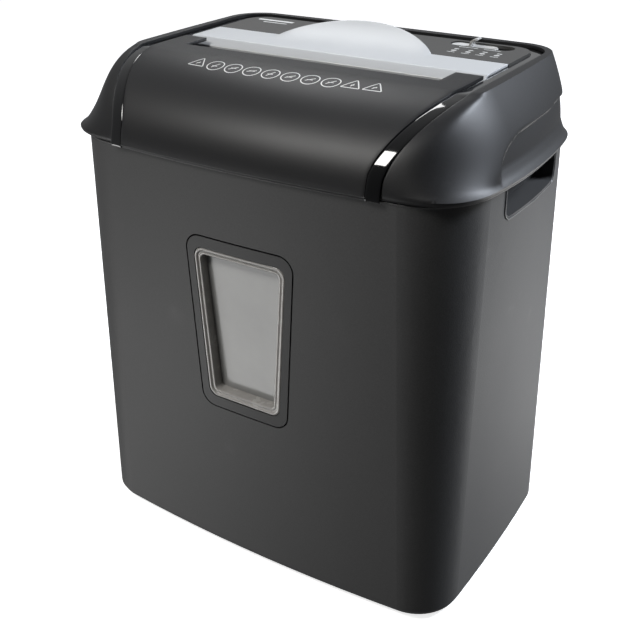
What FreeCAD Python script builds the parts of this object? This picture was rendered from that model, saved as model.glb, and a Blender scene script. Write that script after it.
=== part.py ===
"""A cross-cut paper shredder: a straight-sided waste bin with a lift-off cutter head.

Millimetres. The origin is on the floor under the middle of the object: +X is to the right of a person who
stands in front of it, -Y points at that person and +Z is up.
"""
import FreeCAD, Part
import math
import os

import Sketcher

Vector = FreeCAD.Vector

DIMENSIONS = {
    # waste bin
    "bin_width": 350,
    "bin_depth": 226,
    "bin_top": 346,
    "bin_bow_front": 12.5,
    "bin_bow_side": 16,
    "bin_corner": 52,
    "foot_width": 350,
    "foot_depth": 234,
    "foot_bow_front": 9.5,
    "foot_bow_side": 4,
    "foot_corner": 38,
    "bin_wall": 2.5,
    "bin_floor": 3,
    "foot_height": 4,
    "foot_radius": 9,
    "foot_across": 128,
    "foot_along": 74,
    # window in the front of the bin
    "window_low": 145,
    "window_high": 292,
    "window_half_low": 41,
    "window_half_high": 49,
    "window_round": 13,
    "window_seam": 1.2,
    "surround_side": 7.5,
    "surround_end": 10,
    "window_rim": 4.5,
    "window_depth": 12,
    "pane_setback": 7,
    "pane_thick": 2,
    # finger pocket in each side of the bin
    "pocket_front": -44,
    "pocket_back": 50,
    "pocket_floor": 322,
    "pocket_inside": 156,
    "pocket_wall": 2,
    "pocket_round": 8,
    # tab on the front wall of the bin that works the bin switch
    "tab_half": 8,
    "tab_back": -91,
    "tab_low": 300,
    # cutter head: outer form
    "head_low": 346.5,
    "head_width": 358,
    "head_depth": 238,
    "head_shift": -2,
    "head_bow_front": 12.5,
    "head_bow_side": 16,
    "head_corner": 54,
    "cheek_corner": 92,
    "head_wall": 2.8,
    "lip_bulge": 4,
    "lip_height": 4,
    "lip_flare": 3,
    "rim_half_width": 149.5,
    "rim_half_depth": 117,
    "rim_corner": 30,
    "rim_bow": 3,
    "cowl_centre": -36.5,
    "cowl_front": -117,
    "cowl_base": 345,
    "cowl_top": 404.5,
    # joints between the covers of the head, seen from above
    "seam_gap": 0.4,
    "cover_half_low": 104,
    "cover_half_high": 131,
    "trim_width": 10.5,
    "trim_width_back": 6,
    "deck_back": 103,
    "deck_corner": 18,
    "deck_top": 403.5,
    "deck_thick": 2.5,
    "trim_top": 402,
    "rail_thick": 2.2,
    # paper slot
    "slot_half": 110,
    "slot_front": -24,
    "slot_back": 3,
    "nip_half": 2.6,
    "throat_low": 377,
    "throat_wall": 1.6,
    # silver entry plate
    "plate_half": 130.5,
    "plate_back": 47,
    "plate_slope": 8,
    "plate_drop": 5,
    "plate_thick": 2,
    "hump_half": 69,
    "hump_back": 75,
    "hump_rise": 13.5,
    "hump_start": 28,
    # slide switch
    "switch_low": 64,
    "switch_high": 117,
    "switch_line": 92,
    "switch_half": 7.5,
    "switch_length": 39,
    "switch_thick": 2,
    "switch_recess": 5,
    "switch_tab": 9,
    "lamp_line": 67,
    "lamp_first": 78,
    "lamp_pitch": 11.7,
    "lamp_radius": 2.2,
    # bottom cover of the head, a tub that hangs into the bin
    "tub_half": 152,
    "tub_front": -62,
    "tub_back": 102.5,
    "tub_floor": 318,
    "tub_wall": 2,
    "tub_round": 34,
    "flange_low": 347.5,
    "outlet_half": 111,
    "outlet_front": -46,
    "outlet_back": 38,
    # cutters
    "axis_height": 352,
    "cutter_gap": 37.5,
    "nip_line": -4.75,
    "disc_radius": 21.5,
    "disc_thick": 4.6,
    "disc_pitch": 10,
    "spacer_radius": 15.5,
    "hex_flats": 14,
    "journal_radius": 6,
    "bush_radius": 9,
    "running_gap": 0.06,
    "stack_half": 113,
    # frame of the cutting unit
    "frame_x": 116,
    "frame_thick": 3,
    "frame_front": -58,
    "frame_back": 99,
    "frame_low": 322.5,
    "frame_high": 396,
    "rod_radius": 4,
    "comb_reach": 11,
    "comb_thick": 4,
    "comb_height": 22,
    # gears
    "timing_module": 1.5,
    "drive_module": 1.25,
    "middle_module": 1.0,
    "motor_module": 0.8,
    "second_angle": 40,
    "first_angle": -30,
    "motor_angle": -25,
    "gear_thick": 6,
    "pin_radius": 3,
    "cover_x": 147,
    # motor
    "motor_radius": 22.5,
    "motor_length": 96,
    "motor_shaft": 2.5,
    # control board
    "board_low_x": -104,
    "board_high_x": -18,
    "board_front": 54,
    "board_back": 97,
    "board_z": 352,
}

PINION_TEETH = 12
DRIVE_TEETH = 36
MIDDLE_TEETH = 36
FIRST_TEETH = 40
TIMING_TEETH = 25

doc = FreeCAD.newDocument("paper_shredder")
sheet = doc.addObject("Spreadsheet::Sheet", "dims")
for row, (alias, size) in enumerate(DIMENSIONS.items(), start=1):
    sheet.set(f"A{row}", alias)
    sheet.set(f"B{row}", str(size))
    sheet.setAlias(f"B{row}", alias)
doc.recompute()


class Measure:
    """A length as a number, together with the expression that binds it to the sheet."""

    def __init__(self, number, text):
        self.number = number
        self.text = text

    def __float__(self):
        return self.number

    def __neg__(self):
        return Measure(-self.number, f"(-1 * {self.text})")

    def __add__(self, other):
        other = measure(other)
        return Measure(self.number + other.number, f"({self.text} + {other.text})")

    def __sub__(self, other):
        other = measure(other)
        return Measure(self.number - other.number, f"({self.text} - {other.text})")

    def __mul__(self, other):
        other = measure(other)
        return Measure(self.number * other.number, f"({self.text} * {other.text})")

    def __truediv__(self, other):
        other = measure(other)
        return Measure(self.number / other.number, f"({self.text} / {other.text})")

    def __radd__(self, other):
        return measure(other) + self

    def __rsub__(self, other):
        return measure(other) - self

    def __rmul__(self, other):
        return measure(other) * self


def measure(thing):
    if isinstance(thing, Measure):
        return thing
    return Measure(float(thing), f"({float(thing):.9f})")


class Sizes:
    """The cells of the sheet, read by their aliases."""

    def __getattr__(self, alias):
        return Measure(float(sheet.get(alias)), f"dims.{alias}")


size = Sizes()
sub_parts = []


# ---------------------------------------------------------------- document helpers

def bind(item, **expressions):
    """Bind properties to measures; a double underscore in a name stands for a dot."""
    for path, value in expressions.items():
        item.setExpression(path.replace("__", "."), measure(value).text)
    return item


def place(item, x=0, y=0, z=0):
    return bind(item, Placement__Base__x=x, Placement__Base__y=y, Placement__Base__z=z)


def keep(item, label):
    """Name an object as a sub-part of its own."""
    item.Label = label
    sub_parts.append(item)
    return item


def box(name, low, high):
    item = doc.addObject("Part::Box", name)
    bind(item, Length=high[0] - low[0], Width=high[1] - low[1], Height=high[2] - low[2])
    return place(item, *low)


def rod(name, radius, low_x, high_x, y, z):
    """A round bar along X."""
    item = doc.addObject("Part::Cylinder", name)
    bind(item, Radius=radius, Height=high_x - low_x)
    item.Placement.Rotation = FreeCAD.Rotation(Vector(0, 1, 0), 90)
    return place(item, low_x, y, z)


def post(name, radius, x, y, low_z, high_z):
    """A round bar along Z."""
    item = doc.addObject("Part::Cylinder", name)
    bind(item, Radius=radius, Height=high_z - low_z)
    return place(item, x, y, low_z)


def cut(name, base, *tools):
    for index, tool in enumerate(tools):
        step = doc.addObject("Part::Cut", f"{name}_cut_{index}")
        step.Base = base
        step.Tool = tool
        base = step
    return base


def fuse(name, *items):
    item = doc.addObject("Part::MultiFuse", f"{name}_fused")
    item.Shapes = list(items)
    return item


def common(name, base, tool):
    item = doc.addObject("Part::Common", f"{name}_common")
    item.Base = base
    item.Tool = tool
    return item


def group(name, *items):
    """Identical pieces that share one node, each still a solid of its own."""
    item = doc.addObject("Part::Compound", f"{name}_group")
    item.Links = list(items)
    return item


def feature(name, shape):
    item = doc.addObject("Part::Feature", name)
    item.Shape = shape
    return item


def prism(name, wire, direction, length):
    """The solid that a closed flat wire sweeps along a direction."""
    outline = feature(f"{name}_outline", wire)
    item = doc.addObject("Part::Extrusion", name)
    item.Base = outline
    item.DirMode = "Custom"
    item.Dir = Vector(*direction)
    item.Solid = True
    bind(item, LengthFwd=length)
    return item


def loft(name, wires):
    item = doc.addObject("Part::Loft", name)
    item.Sections = [feature(f"{name}_{index}", wire) for index, wire in enumerate(wires)]
    item.Solid = True
    item.Ruled = True
    return item


def body_on(name, role):
    """A body and a sketch on one of its own origin planes."""
    body = doc.addObject("PartDesign::Body", name)
    sketch = body.newObject("Sketcher::SketchObject", f"{name}_sketch")
    plane = [item for item in body.Origin.OriginFeatures if item.Role == role][0]
    sketch.AttachmentSupport = [(plane, "")]
    sketch.MapMode = "FlatFace"
    return body, sketch


def pin_point(sketch, geometry, position, across, up):
    """Fix a point of a sketch by two bound distances from the sketch's origin."""
    for kind, value in (("DistanceX", measure(across)), ("DistanceY", measure(up))):
        index = sketch.addConstraint(Sketcher.Constraint(kind, -1, 1, geometry, position, float(value)))
        sketch.setExpression(f"Constraints[{index}]", value.text)


def sketch_rectangle(sketch, low, high):
    x0, y0, x1, y1 = float(low[0]), float(low[1]), float(high[0]), float(high[1])
    corners = [Vector(x0, y0), Vector(x1, y0), Vector(x1, y1), Vector(x0, y1)]
    lines = [sketch.addGeometry(Part.LineSegment(corners[i], corners[(i + 1) % 4])) for i in range(4)]
    for i in range(4):
        sketch.addConstraint(Sketcher.Constraint("Coincident", lines[i], 2, lines[(i + 1) % 4], 1))
        kind = "Vertical" if i % 2 else "Horizontal"
        sketch.addConstraint(Sketcher.Constraint(kind, lines[i]))
    pin_point(sketch, lines[0], 1, low[0], low[1])
    pin_point(sketch, lines[2], 1, high[0], high[1])


def sketch_circle(sketch, across, up, radius):
    centre = Vector(float(across), float(up))
    index = sketch.addGeometry(Part.Circle(centre, Vector(0, 0, 1), float(radius)))
    pin_point(sketch, index, 3, across, up)
    bound = sketch.addConstraint(Sketcher.Constraint("Radius", index, float(radius)))
    sketch.setExpression(f"Constraints[{bound}]", measure(radius).text)


def pad(body, sketch, length):
    item = body.newObject("PartDesign::Pad", f"{body.Name}_pad")
    item.Profile = sketch
    bind(item, Length=length)
    sketch.Visibility = False
    return item


# ---------------------------------------------------------------- outlines

def arc_radius(half_chord, rise):
    """The radius of the arc that rises so far over a chord."""
    half_chord, rise = float(half_chord), float(rise)
    return (half_chord ** 2 + rise ** 2) / (2 * rise)


def corner_points(half_width, half_depth, bow_front, bow_side, corner, z):
    """Start, middle and end of the arc that rounds the front right corner, tangent to both bowed sides."""
    front_radius = arc_radius(half_width, bow_front)
    side_radius = arc_radius(half_depth, bow_side)
    front_centre = Vector(0, front_radius - half_depth, z)
    side_centre = Vector(half_width - side_radius, 0, z)
    line = side_centre - front_centre
    apart = line.Length
    reach_front = front_radius - corner
    reach_side = side_radius - corner
    along = (reach_front ** 2 - reach_side ** 2 + apart ** 2) / (2 * apart)
    aside = math.sqrt(reach_front ** 2 - along ** 2)
    line.normalize()
    square = Vector(-line.y, line.x, 0)
    candidates = [front_centre + line * along + square * aside * sign for sign in (-1, 1)]
    centre = max(candidates, key=lambda point: point.x - point.y)
    to_front = (centre - front_centre).normalize()
    to_side = (centre - side_centre).normalize()
    on_front = front_centre + to_front * front_radius
    on_side = side_centre + to_side * side_radius
    on_corner = centre + (to_front + to_side).normalize() * corner
    return on_front, on_corner, on_side


def bowed_outline(half_width, half_depth, bow_front, bow_side, corner, z, shift=0, front_corner=None):
    """A rounded rectangle whose four sides bow outward.

    Each side is an arc that rises by its bow over the whole side. The front corners may be rounder.
    """
    half_width, half_depth, z = float(half_width), float(half_depth), float(z)
    rear = corner_points(half_width, half_depth, bow_front, bow_side, float(corner), z)
    ahead = float(corner if front_corner is None else front_corner)
    front = corner_points(half_width, half_depth, bow_front, bow_side, ahead, z)

    def mirrored(point, sign_x, sign_y):
        return Vector(point.x * sign_x, point.y * sign_y, point.z)

    edges = []
    for sign_x, sign_y in ((1, 1), (1, -1), (-1, -1), (-1, 1)):
        points = front if sign_y > 0 else rear
        turn = [mirrored(point, sign_x, sign_y) for point in points]
        if sign_x * sign_y < 0:
            turn.reverse()
        edges.append(turn)
    middles = [
        Vector(half_width, 0, z), Vector(0, half_depth, z), Vector(-half_width, 0, z),
        Vector(0, -half_depth, z),
    ]
    wire = []
    for index, turn in enumerate(edges):
        wire.append(Part.Arc(*turn).toShape())
        following = edges[(index + 1) % 4]
        wire.append(Part.Arc(turn[2], middles[index], following[0]).toShape())
    outline = Part.Wire(wire)
    outline.translate(Vector(0, float(shift), 0))
    return outline


def rounded_polygon(points, radii):
    """A closed polygon with an arc at each corner whose radius is not zero."""
    count = len(points)
    radii = [float(radius) for radius in radii]
    entries, exits = [], []
    for index, point in enumerate(points):
        to_last = (points[index - 1] - point).normalize()
        to_next = (points[(index + 1) % count] - point).normalize()
        half = to_last.getAngle(to_next) / 2
        setback = radii[index] / math.tan(half)
        entries.append(point + to_last * setback)
        exits.append(point + to_next * setback)
    edges = []
    for index, point in enumerate(points):
        if radii[index] > 0:
            inward = (entries[index] + exits[index]) / 2 - point
            half = (entries[index] - point).getAngle(exits[index] - point) / 2
            reach = radii[index] / math.sin(half) - radii[index]
            middle = point + inward.normalize() * reach
            edges.append(Part.Arc(entries[index], middle, exits[index]).toShape())
        start, end = exits[index], entries[(index + 1) % count]
        if (end - start).Length > 1e-6:
            edges.append(Part.LineSegment(start, end).toShape())
    return Part.Wire(edges)


def polygon(points):
    points = [Vector(*(float(value) for value in point)) for point in points]
    return Part.makePolygon(points + points[:1])


# ---------------------------------------------------------------- waste bin

def bin_wires(inset, low, high):
    """The outlines of the bin from its floor to its top, inset from the outside."""
    rise = float(size.bin_top - size.foot_height)

    def outline(z, tuck):
        share = (float(z) - float(size.foot_height)) / rise

        def between(foot, top):
            return float(foot) + (float(top) - float(foot)) * share

        shrink = float(inset) + tuck
        return bowed_outline(
            between(size.foot_width, size.bin_width) / 2 - shrink,
            between(size.foot_depth, size.bin_depth) / 2 - shrink,
            between(size.foot_bow_front, size.bin_bow_front),
            between(size.foot_bow_side, size.bin_bow_side),
            between(size.foot_corner, size.bin_corner) - shrink,
            z,
        )

    return [outline(low, 5), outline(low + 2, 2), outline(low + 6, 0), outline(high, 0)]


def window_wire(inset_side, inset_end, radius, y):
    """The keystone outline of the window, wider at its top."""
    low = size.window_low + inset_end
    high = size.window_high - inset_end
    half_low = float(size.window_half_low - inset_side)
    half_high = float(size.window_half_high - inset_side)
    y, low, high = float(y), float(low), float(high)
    corners = [
        Vector(-half_low, y, low), Vector(half_low, y, low), Vector(half_high, y, high),
        Vector(-half_high, y, high),
    ]
    return rounded_polygon(corners, [radius] * 4)


def window_prism(name, inset_side, inset_end, radius, front, depth):
    return prism(name, window_wire(inset_side, inset_end, radius, front), (0, 1, 0), depth)


def make_bin():
    outer = loft("bin_outer", bin_wires(0, size.foot_height, size.bin_top))
    inner = loft("bin_inner", bin_wires(size.bin_wall, size.foot_height + size.bin_floor, size.bin_top + 1))
    hole = window_prism("window_hole", 0, 0, size.window_round, -150, 80)
    pockets = []
    for side, sign in (("left", -1), ("right", 1)):
        notch = pocket_block(f"notch_{side}", sign, 0)
        pockets.append((side, sign, notch))
    tab = box(
        "bin_tab",
        (-size.tab_half, -size.bin_depth / 2 + 1.5, size.tab_low),
        (size.tab_half, size.tab_back, size.bin_top - 1),
    )
    shell = cut("bin_wall", outer, inner, hole, *[notch for side, sign, notch in pockets])
    keep(fuse("bin_shell", shell, tab), "bin_shell")
    for side, sign, notch in pockets:
        body = pocket_block(f"pocket_body_{side}", sign, 0.15)
        hollow = pocket_block(f"pocket_hollow_{side}", sign, size.pocket_wall)
        skin = common(f"pocket_skin_{side}", body, outer)
        keep(cut(f"pocket_{side}", skin, hollow), f"bin_pocket_{side}")
    return outer, inner


def pocket_block(name, sign, inset):
    """A block with rounded lower corners, seen from the side, that runs out through the bin's side wall."""
    front = float(size.pocket_front + inset)
    back = float(size.pocket_back - inset)
    low = float(size.pocket_floor + inset)
    high = float(size.bin_top) + (0 if float(inset) < 1 else 2)
    start = sign * float(size.pocket_inside + inset)
    points = [
        Vector(start, front, low), Vector(start, back, low), Vector(start, back, high),
        Vector(start, front, high),
    ]
    radius = float(size.pocket_round - inset)
    wire = rounded_polygon(points, [radius, radius, 0, 0])
    return prism(name, wire, (sign, 0, 0), 30)


def make_window(outer, inner):
    gap = size.window_seam
    wall = cut("window_wall", outer, inner)
    face = window_prism("surround_face", gap, gap, size.window_round - gap, -150, 80)
    opening = window_prism("surround_opening", size.surround_side, size.surround_end, 8, -151, 82)
    keep(cut("surround", common("surround", wall, face), opening), "window_surround")

    front = -size.bin_depth / 2
    rim_side = size.surround_side + 0.15
    rim_end = size.surround_end + 0.15
    pane_side = size.surround_side + size.window_rim
    pane_end = size.surround_end + size.window_rim
    tube = window_prism("rim_tube", rim_side, rim_end, 8, -150, 150 + front + size.window_depth)
    bore = window_prism("rim_bore", pane_side, pane_end, 5, -151, 82)
    keep(cut("rim", common("rim", tube, outer), bore), "window_rim")

    pane = window_prism(
        "pane", pane_side + 0.15, pane_end + 0.15, 5, front + size.pane_setback, size.pane_thick,
    )
    keep(pane, "window_pane")


def make_feet():
    feet = []
    for index, (sign_x, sign_y) in enumerate(((-1, -1), (1, -1), (1, 1), (-1, 1))):
        x = sign_x * size.foot_across
        y = sign_y * size.foot_along
        feet.append(post(f"foot_{index}", size.foot_radius, x, y, 0, size.foot_height))
    keep(group("feet", *feet), "bin_feet")


# ---------------------------------------------------------------- outer covers of the cutter head

def head_wires(inset):
    """Outlines of the head, or of its hollow at an inset: a lip, then the shoulder up to the rim."""
    half_width = size.head_width / 2
    half_depth = size.head_depth / 2
    lip = size.head_low + size.lip_height
    rise = size.cowl_top - inset - lip
    shift = size.head_shift
    bow_front, bow_side = size.head_bow_front, size.head_bow_side
    below = 0 if float(inset) == 0 else 1
    tuck = size.lip_bulge + below + inset
    low_corner = size.head_corner - tuck
    low = size.head_low - below
    wires = [
        bowed_outline(half_width - tuck, half_depth - tuck, bow_front, bow_side, low_corner, low, shift),
    ]
    for share in (0, 0.06, 0.2, 0.4, 0.6, 0.8, 1):
        flare = size.lip_flare * (1 - math.exp(-share / 0.03))
        drawn = flare + (half_width - size.rim_half_width - size.lip_flare) * share ** 1.6
        depth = half_depth - (half_depth - size.rim_half_depth) * share - inset
        corner = size.head_corner - (size.head_corner - size.rim_corner) * share - inset
        rounder = size.head_corner + (size.cheek_corner - size.head_corner) * (1 - (1 - share) ** 5) - inset
        front = bow_front - (bow_front - size.rim_bow) * share
        side = bow_side - (bow_side - size.rim_bow) * share
        level = lip + rise * share
        back = shift * (1 - share)
        wires.append(
            bowed_outline(half_width - drawn - inset, depth, front, side, corner, level, back, rounder),
        )
    return wires


def cowl_solid(name, inset):
    """All that lies behind the curved front: a quarter ellipse swept round a distant upright axis."""
    front = float(size.cowl_front + inset)
    centre = float(size.cowl_centre)
    base = float(size.cowl_base)
    top = float(size.cowl_top - inset)
    low = base - 20
    back = float(size.head_depth)
    ellipse = Part.Ellipse(Vector(0, front, base), Vector(0, centre, top), Vector(0, centre, base))
    curve = Part.ArcOfEllipse(ellipse, 0, math.pi / 2).toShape()
    corners = [
        Vector(0, centre, top), Vector(0, back, top), Vector(0, back, low), Vector(0, front, low),
        Vector(0, front, base),
    ]
    lines = [Part.LineSegment(corners[i], corners[i + 1]).toShape() for i in range(4)]
    outline = feature(f"{name}_outline", Part.Wire([curve] + lines))
    bow_radius = arc_radius(size.head_width / 2, size.head_bow_front)
    item = doc.addObject("Part::Revolution", name)
    item.Source = outline
    item.Axis = Vector(0, 0, 1)
    item.Base = Vector(0, float(size.cowl_front) + bow_radius, 0)
    item.Angle = 24
    item.Symmetric = True
    item.Solid = True
    return item


def side_curve(offset, back):
    """One side of the cover joint, from above: straight at the lip, then splaying out to the flat top."""
    low = float(size.cover_half_low) + offset
    high = float(size.cover_half_high) + offset
    front = float(size.cowl_front)
    centre = float(size.cowl_centre)
    depth = centre - front
    start = Vector(low, front + 0.1 * depth, 0)
    end = Vector(high, centre + 0.15 * depth, 0)
    poles = [
        start, Vector(low + 0.35 * (high - low), front + 0.32 * depth, 0),
        Vector(high, front + 0.62 * depth, 0), end,
    ]
    curve = Part.BezierCurve()
    curve.setPoles(poles)
    return [
        Part.LineSegment(Vector(low, front - 20, 0), start).toShape(),
        curve.toShape(),
        Part.LineSegment(end, Vector(high, float(back), 0)).toShape(),
    ]


def plan_prism(name, right_edges, tail_edges):
    """A tall prism. Its plan is one side's edges, their mirror image, and the edges that join them behind."""
    mirror = [edge.mirror(Vector(0, 0, 0), Vector(1, 0, 0)) for edge in right_edges]
    start = right_edges[0].Vertexes[0].Point
    other = Vector(-start.x, start.y, start.z)
    front = Part.LineSegment(other, start).toShape()
    edges = Part.__sortEdges__(right_edges + tail_edges + mirror + [front])
    wire = Part.Wire(edges)
    wire.translate(Vector(0, 0, 300))
    return prism(name, wire, (0, 0, 1), 130)


def back_edges(half, back, corner, start_y):
    """The joint round the back of the top panel, from one side to the other."""
    half, back, corner, start_y = float(half), float(back), float(corner), float(start_y)
    slant = corner * (1 - math.sqrt(0.5))
    edges = [Part.LineSegment(Vector(half, start_y, 0), Vector(half, back - corner, 0)).toShape()]
    edges.append(
        Part.Arc(
            Vector(half, back - corner, 0), Vector(half - slant, back - slant, 0),
            Vector(half - corner, back, 0),
        ).toShape(),
    )
    edges.append(Part.LineSegment(Vector(half - corner, back, 0), Vector(corner - half, back, 0)).toShape())
    edges.append(
        Part.Arc(
            Vector(corner - half, back, 0), Vector(slant - half, back - slant, 0),
            Vector(-half, back - corner, 0),
        ).toShape(),
    )
    edges.append(Part.LineSegment(Vector(-half, back - corner, 0), Vector(-half, start_y, 0)).toShape())
    return edges


def make_covers():
    outer = common("head_outer", loft("head_form", head_wires(0)), cowl_solid("cowl", 0))
    inner = common(
        "head_inner", loft("head_hollow", head_wires(size.head_wall)),
        cowl_solid("cowl_hollow", size.head_wall),
    )
    shell = cut("head_skin", outer, inner)
    gap = float(size.seam_gap)
    width = float(size.trim_width)
    turn = 40

    def ring(name, offset, back, corner):
        half = size.cover_half_high + offset
        return plan_prism(name, side_curve(offset, turn), back_edges(half, back, corner, turn))

    back = size.deck_back + size.trim_width_back
    trim_outside = ring("trim_outside", width, back, size.deck_corner + 5)
    trim_inside = ring("trim_inside", gap, size.deck_back + gap, size.deck_corner)
    housing_hole = ring("housing_hole", width + gap, back + gap, size.deck_corner + 5)
    core = common(
        "head_core", loft("head_core_form", head_wires(size.head_wall / 2)),
        cowl_solid("cowl_core", size.head_wall / 2),
    )
    gland_hole = gland_post("gland_hole", 7.2)
    housing = fuse("housing", cut("housing_wall", shell, housing_hole), bosses("side", side_bosses(), core))
    keep(cut("head_housing", housing, boss_bores("side", side_bosses()), gland_hole), "head_housing")

    ring_wall = cut("trim_ring", trim_outside, trim_inside)
    front_room = box("trim_front_room", (-200, -200, 300), (200, size.cowl_centre, 430))
    rail_room = box(
        "trim_rail_room", (-200, size.cowl_centre - 4, size.trim_top - size.rail_thick),
        (200, 200, size.trim_top),
    )
    strips = common("trim_strips_front", common("trim_strips", shell, ring_wall), front_room)
    rail = common("trim_rail", ring_wall, rail_room)
    keep(fuse("gloss_trim", strips, rail), "gloss_trim")

    slot_back = size.slot_back
    cover_plan = plan_prism("cover_plan", side_curve(0, slot_back), [
        Part.LineSegment(
            Vector(size.cover_half_high, slot_back, 0), Vector(-size.cover_half_high, slot_back, 0),
        ).toShape(),
    ])
    slot = box("slot_opening", (-size.slot_half, size.slot_front, 380), (size.slot_half, 30, 430))
    cover = fuse(
        "front_cover", common("front_cover", shell, cover_plan),
        bosses("front", front_bosses(), core),
    )
    keep(cut("front_cover", cover, slot, boss_bores("front", front_bosses())), "front_cover")


def side_bosses():
    return [(-163, -44), (163, -44), (-158, 66), (158, 66)]


def front_bosses():
    return [(-84, -96), (84, -96)]


def bosses(name, places, core):
    """Screw posts from just above the bottom cover up into the wall of the cover over them."""
    posts = [
        post(f"boss_{name}_{i}", 4, x, y, size.flange_low + 2.9, 420)
        for i, (x, y) in enumerate(places)
    ]
    return common(f"bosses_{name}", group(f"bosses_{name}", *posts), core)


def boss_bores(name, places):
    low = size.flange_low
    return group(
        f"bores_{name}",
        *[post(f"bore_{name}_{i}", 1.5, x, y, low, low + 16) for i, (x, y) in enumerate(places)],
    )


def gland_post(name, radius):
    item = doc.addObject("Part::Cylinder", name)
    bind(item, Radius=radius, Height=9)
    item.Placement.Rotation = FreeCAD.Rotation(Vector(1, 0, 0), 90)
    return place(item, -100, size.head_depth / 2 - 3, 364)


def make_gland():
    keep(gland_post("gland", 7), "cord_gland")


def make_deck():
    """The matte top panel behind the entry plate, with the switch recess and the lamp holes."""
    low = size.deck_top - size.deck_thick
    half = float(size.cover_half_high)
    start = float(size.plate_back) + float(size.seam_gap)
    edges = back_edges(half, size.deck_back, size.deck_corner, start)
    edges.append(Part.LineSegment(Vector(-half, start, 0), Vector(half, start, 0)).toShape())
    wire = Part.Wire(Part.__sortEdges__(edges))
    wire.translate(Vector(0, 0, float(low)))
    plate = prism("deck_plate", wire, (0, 0, 1), size.deck_thick)
    hump_room = hump_plan("hump_room", size.hump_half + 0.4, size.hump_back + 0.4, float(low) - 1, 8)
    switch_room = switch_plan(
        "switch_room", size.switch_low, size.switch_high, size.switch_half, low - 1, 6,
    )
    lamps = group(
        "lamp_holes", *lamp_posts("lamp_hole", size.lamp_radius + 0.1, low - 1, size.deck_top + 1),
    )
    keep(cut("control_deck", plate, hump_room, switch_room, lamps), "control_deck")
    tray = switch_plan(
        "tray", size.switch_low - 1.5, size.switch_high + 1.5, size.switch_half + 1.5,
        low - size.switch_recess, size.switch_recess - 0.1,
    )
    well = switch_plan(
        "tray_well", size.switch_low, size.switch_high, size.switch_half,
        low - size.switch_recess + 1.5, 10,
    )
    keep(cut("switch_tray", tray, well), "switch_tray")
    lenses = lamp_posts("lens", size.lamp_radius, low - 3, size.deck_top)
    keep(group("lamp_lenses", *lenses), "lamp_lenses")


def lamp_posts(name, radius, low, high):
    return [
        post(
            f"{name}_{index}", radius, size.lamp_first + size.lamp_pitch * index, size.lamp_line, low,
            high,
        )
        for index in range(4)
    ]


def switch_plan(name, low, high, half, z, height):
    """An oblong with round ends in the line of the slide switch."""
    low, high, half, z = float(low), float(high), float(half), float(z)
    y = float(size.switch_line)
    corners = [
        Vector(low, y - half, z), Vector(high, y - half, z), Vector(high, y + half, z),
        Vector(low, y + half, z),
    ]
    return prism(name, rounded_polygon(corners, [half - 0.01] * 4), (0, 0, 1), height)


def make_switch():
    """The slider: an oblong plate in the recess with an upright thumb tab."""
    low = size.deck_top - 3
    start = size.switch_low + 0.4
    plate = switch_plan(
        "slider_plate", start, start + size.switch_length, size.switch_half - 0.4, low,
        size.switch_thick,
    )
    middle = start + size.switch_length / 2
    tab = box(
        "slider_tab",
        (middle - 1.6, size.switch_line - 5, low + 1),
        (middle + 1.6, size.switch_line + 5, size.deck_top + size.switch_tab),
    )
    stem = box(
        "slider_stem",
        (middle - 4, size.switch_line - 3, low - 2.7),
        (middle + 4, size.switch_line + 3, low + 0.5),
    )
    keep(fuse("switch_slider", plate, tab, stem), "switch_slider")


def hump_plan(name, half, back, z, height):
    """The plan of the raised lip: a circular segment behind the flat of the entry plate."""
    half, back = float(half), float(back)
    chord = float(size.plate_back)
    arc = Part.Arc(Vector(half, chord, z), Vector(0, back, z), Vector(-half, chord, z)).toShape()
    front = float(size.hump_start) - 4
    points = [
        Vector(-half, chord, z), Vector(-half, front, z), Vector(half, front, z),
        Vector(half, chord, z),
    ]
    lines = [Part.LineSegment(points[i], points[i + 1]).toShape() for i in range(3)]
    return prism(name, Part.Wire([arc] + lines), (0, 0, 1), height)


def ramp(name, drop, length):
    """The profile of the raised lip from the side: flat, then a smooth rise to its rear edge."""
    top = float(size.deck_top) - drop
    start = Vector(0, float(size.hump_start), top)
    end = Vector(0, float(size.hump_back) + 2, top + float(size.hump_rise))
    run = end.y - start.y
    curve = Part.BezierCurve()
    curve.setPoles(
        [
            start, start + Vector(0, 0.45 * run, 0),
            end - Vector(0, 0.4 * run, 0.55 * float(size.hump_rise)), end,
        ],
    )
    low = top - 12
    base = [end, Vector(0, end.y, low), Vector(0, start.y, low), start]
    lines = [Part.LineSegment(base[i], base[i + 1]).toShape() for i in range(3)]
    wire = Part.Wire([curve.toShape()] + lines)
    wire.translate(Vector(-length / 2, 0, 0))
    return prism(name, wire, (1, 0, 0), length)


def make_entry_plate():
    """The silver plate: a chamfer down into the slot, a flat top and a raised lip in its rear edge."""
    top = size.deck_top
    thick = size.plate_thick
    front = size.slot_back + 0.4
    knee = size.slot_back + size.plate_slope
    profile = polygon([
        (-size.plate_half, front, top - size.plate_drop),
        (-size.plate_half, knee, top),
        (-size.plate_half, size.plate_back, top),
        (-size.plate_half, size.plate_back, top - thick),
        (-size.plate_half, knee + 1, top - thick),
        (-size.plate_half, front, top - size.plate_drop - thick),
    ])
    flat = prism("plate_flat", profile, (1, 0, 0), size.plate_half * 2)
    block = common(
        "hump_block", hump_plan("hump_plan_all", size.hump_half, size.hump_back, 380, 60),
        ramp("hump_ramp", 0, 150),
    )
    hollow = ramp("hump_hollow", float(thick), 152)
    shell = cut("hump_shell", block, hollow)
    plate = fuse("entry_plate", flat, shell)
    keep(plate, "entry_plate")


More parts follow.
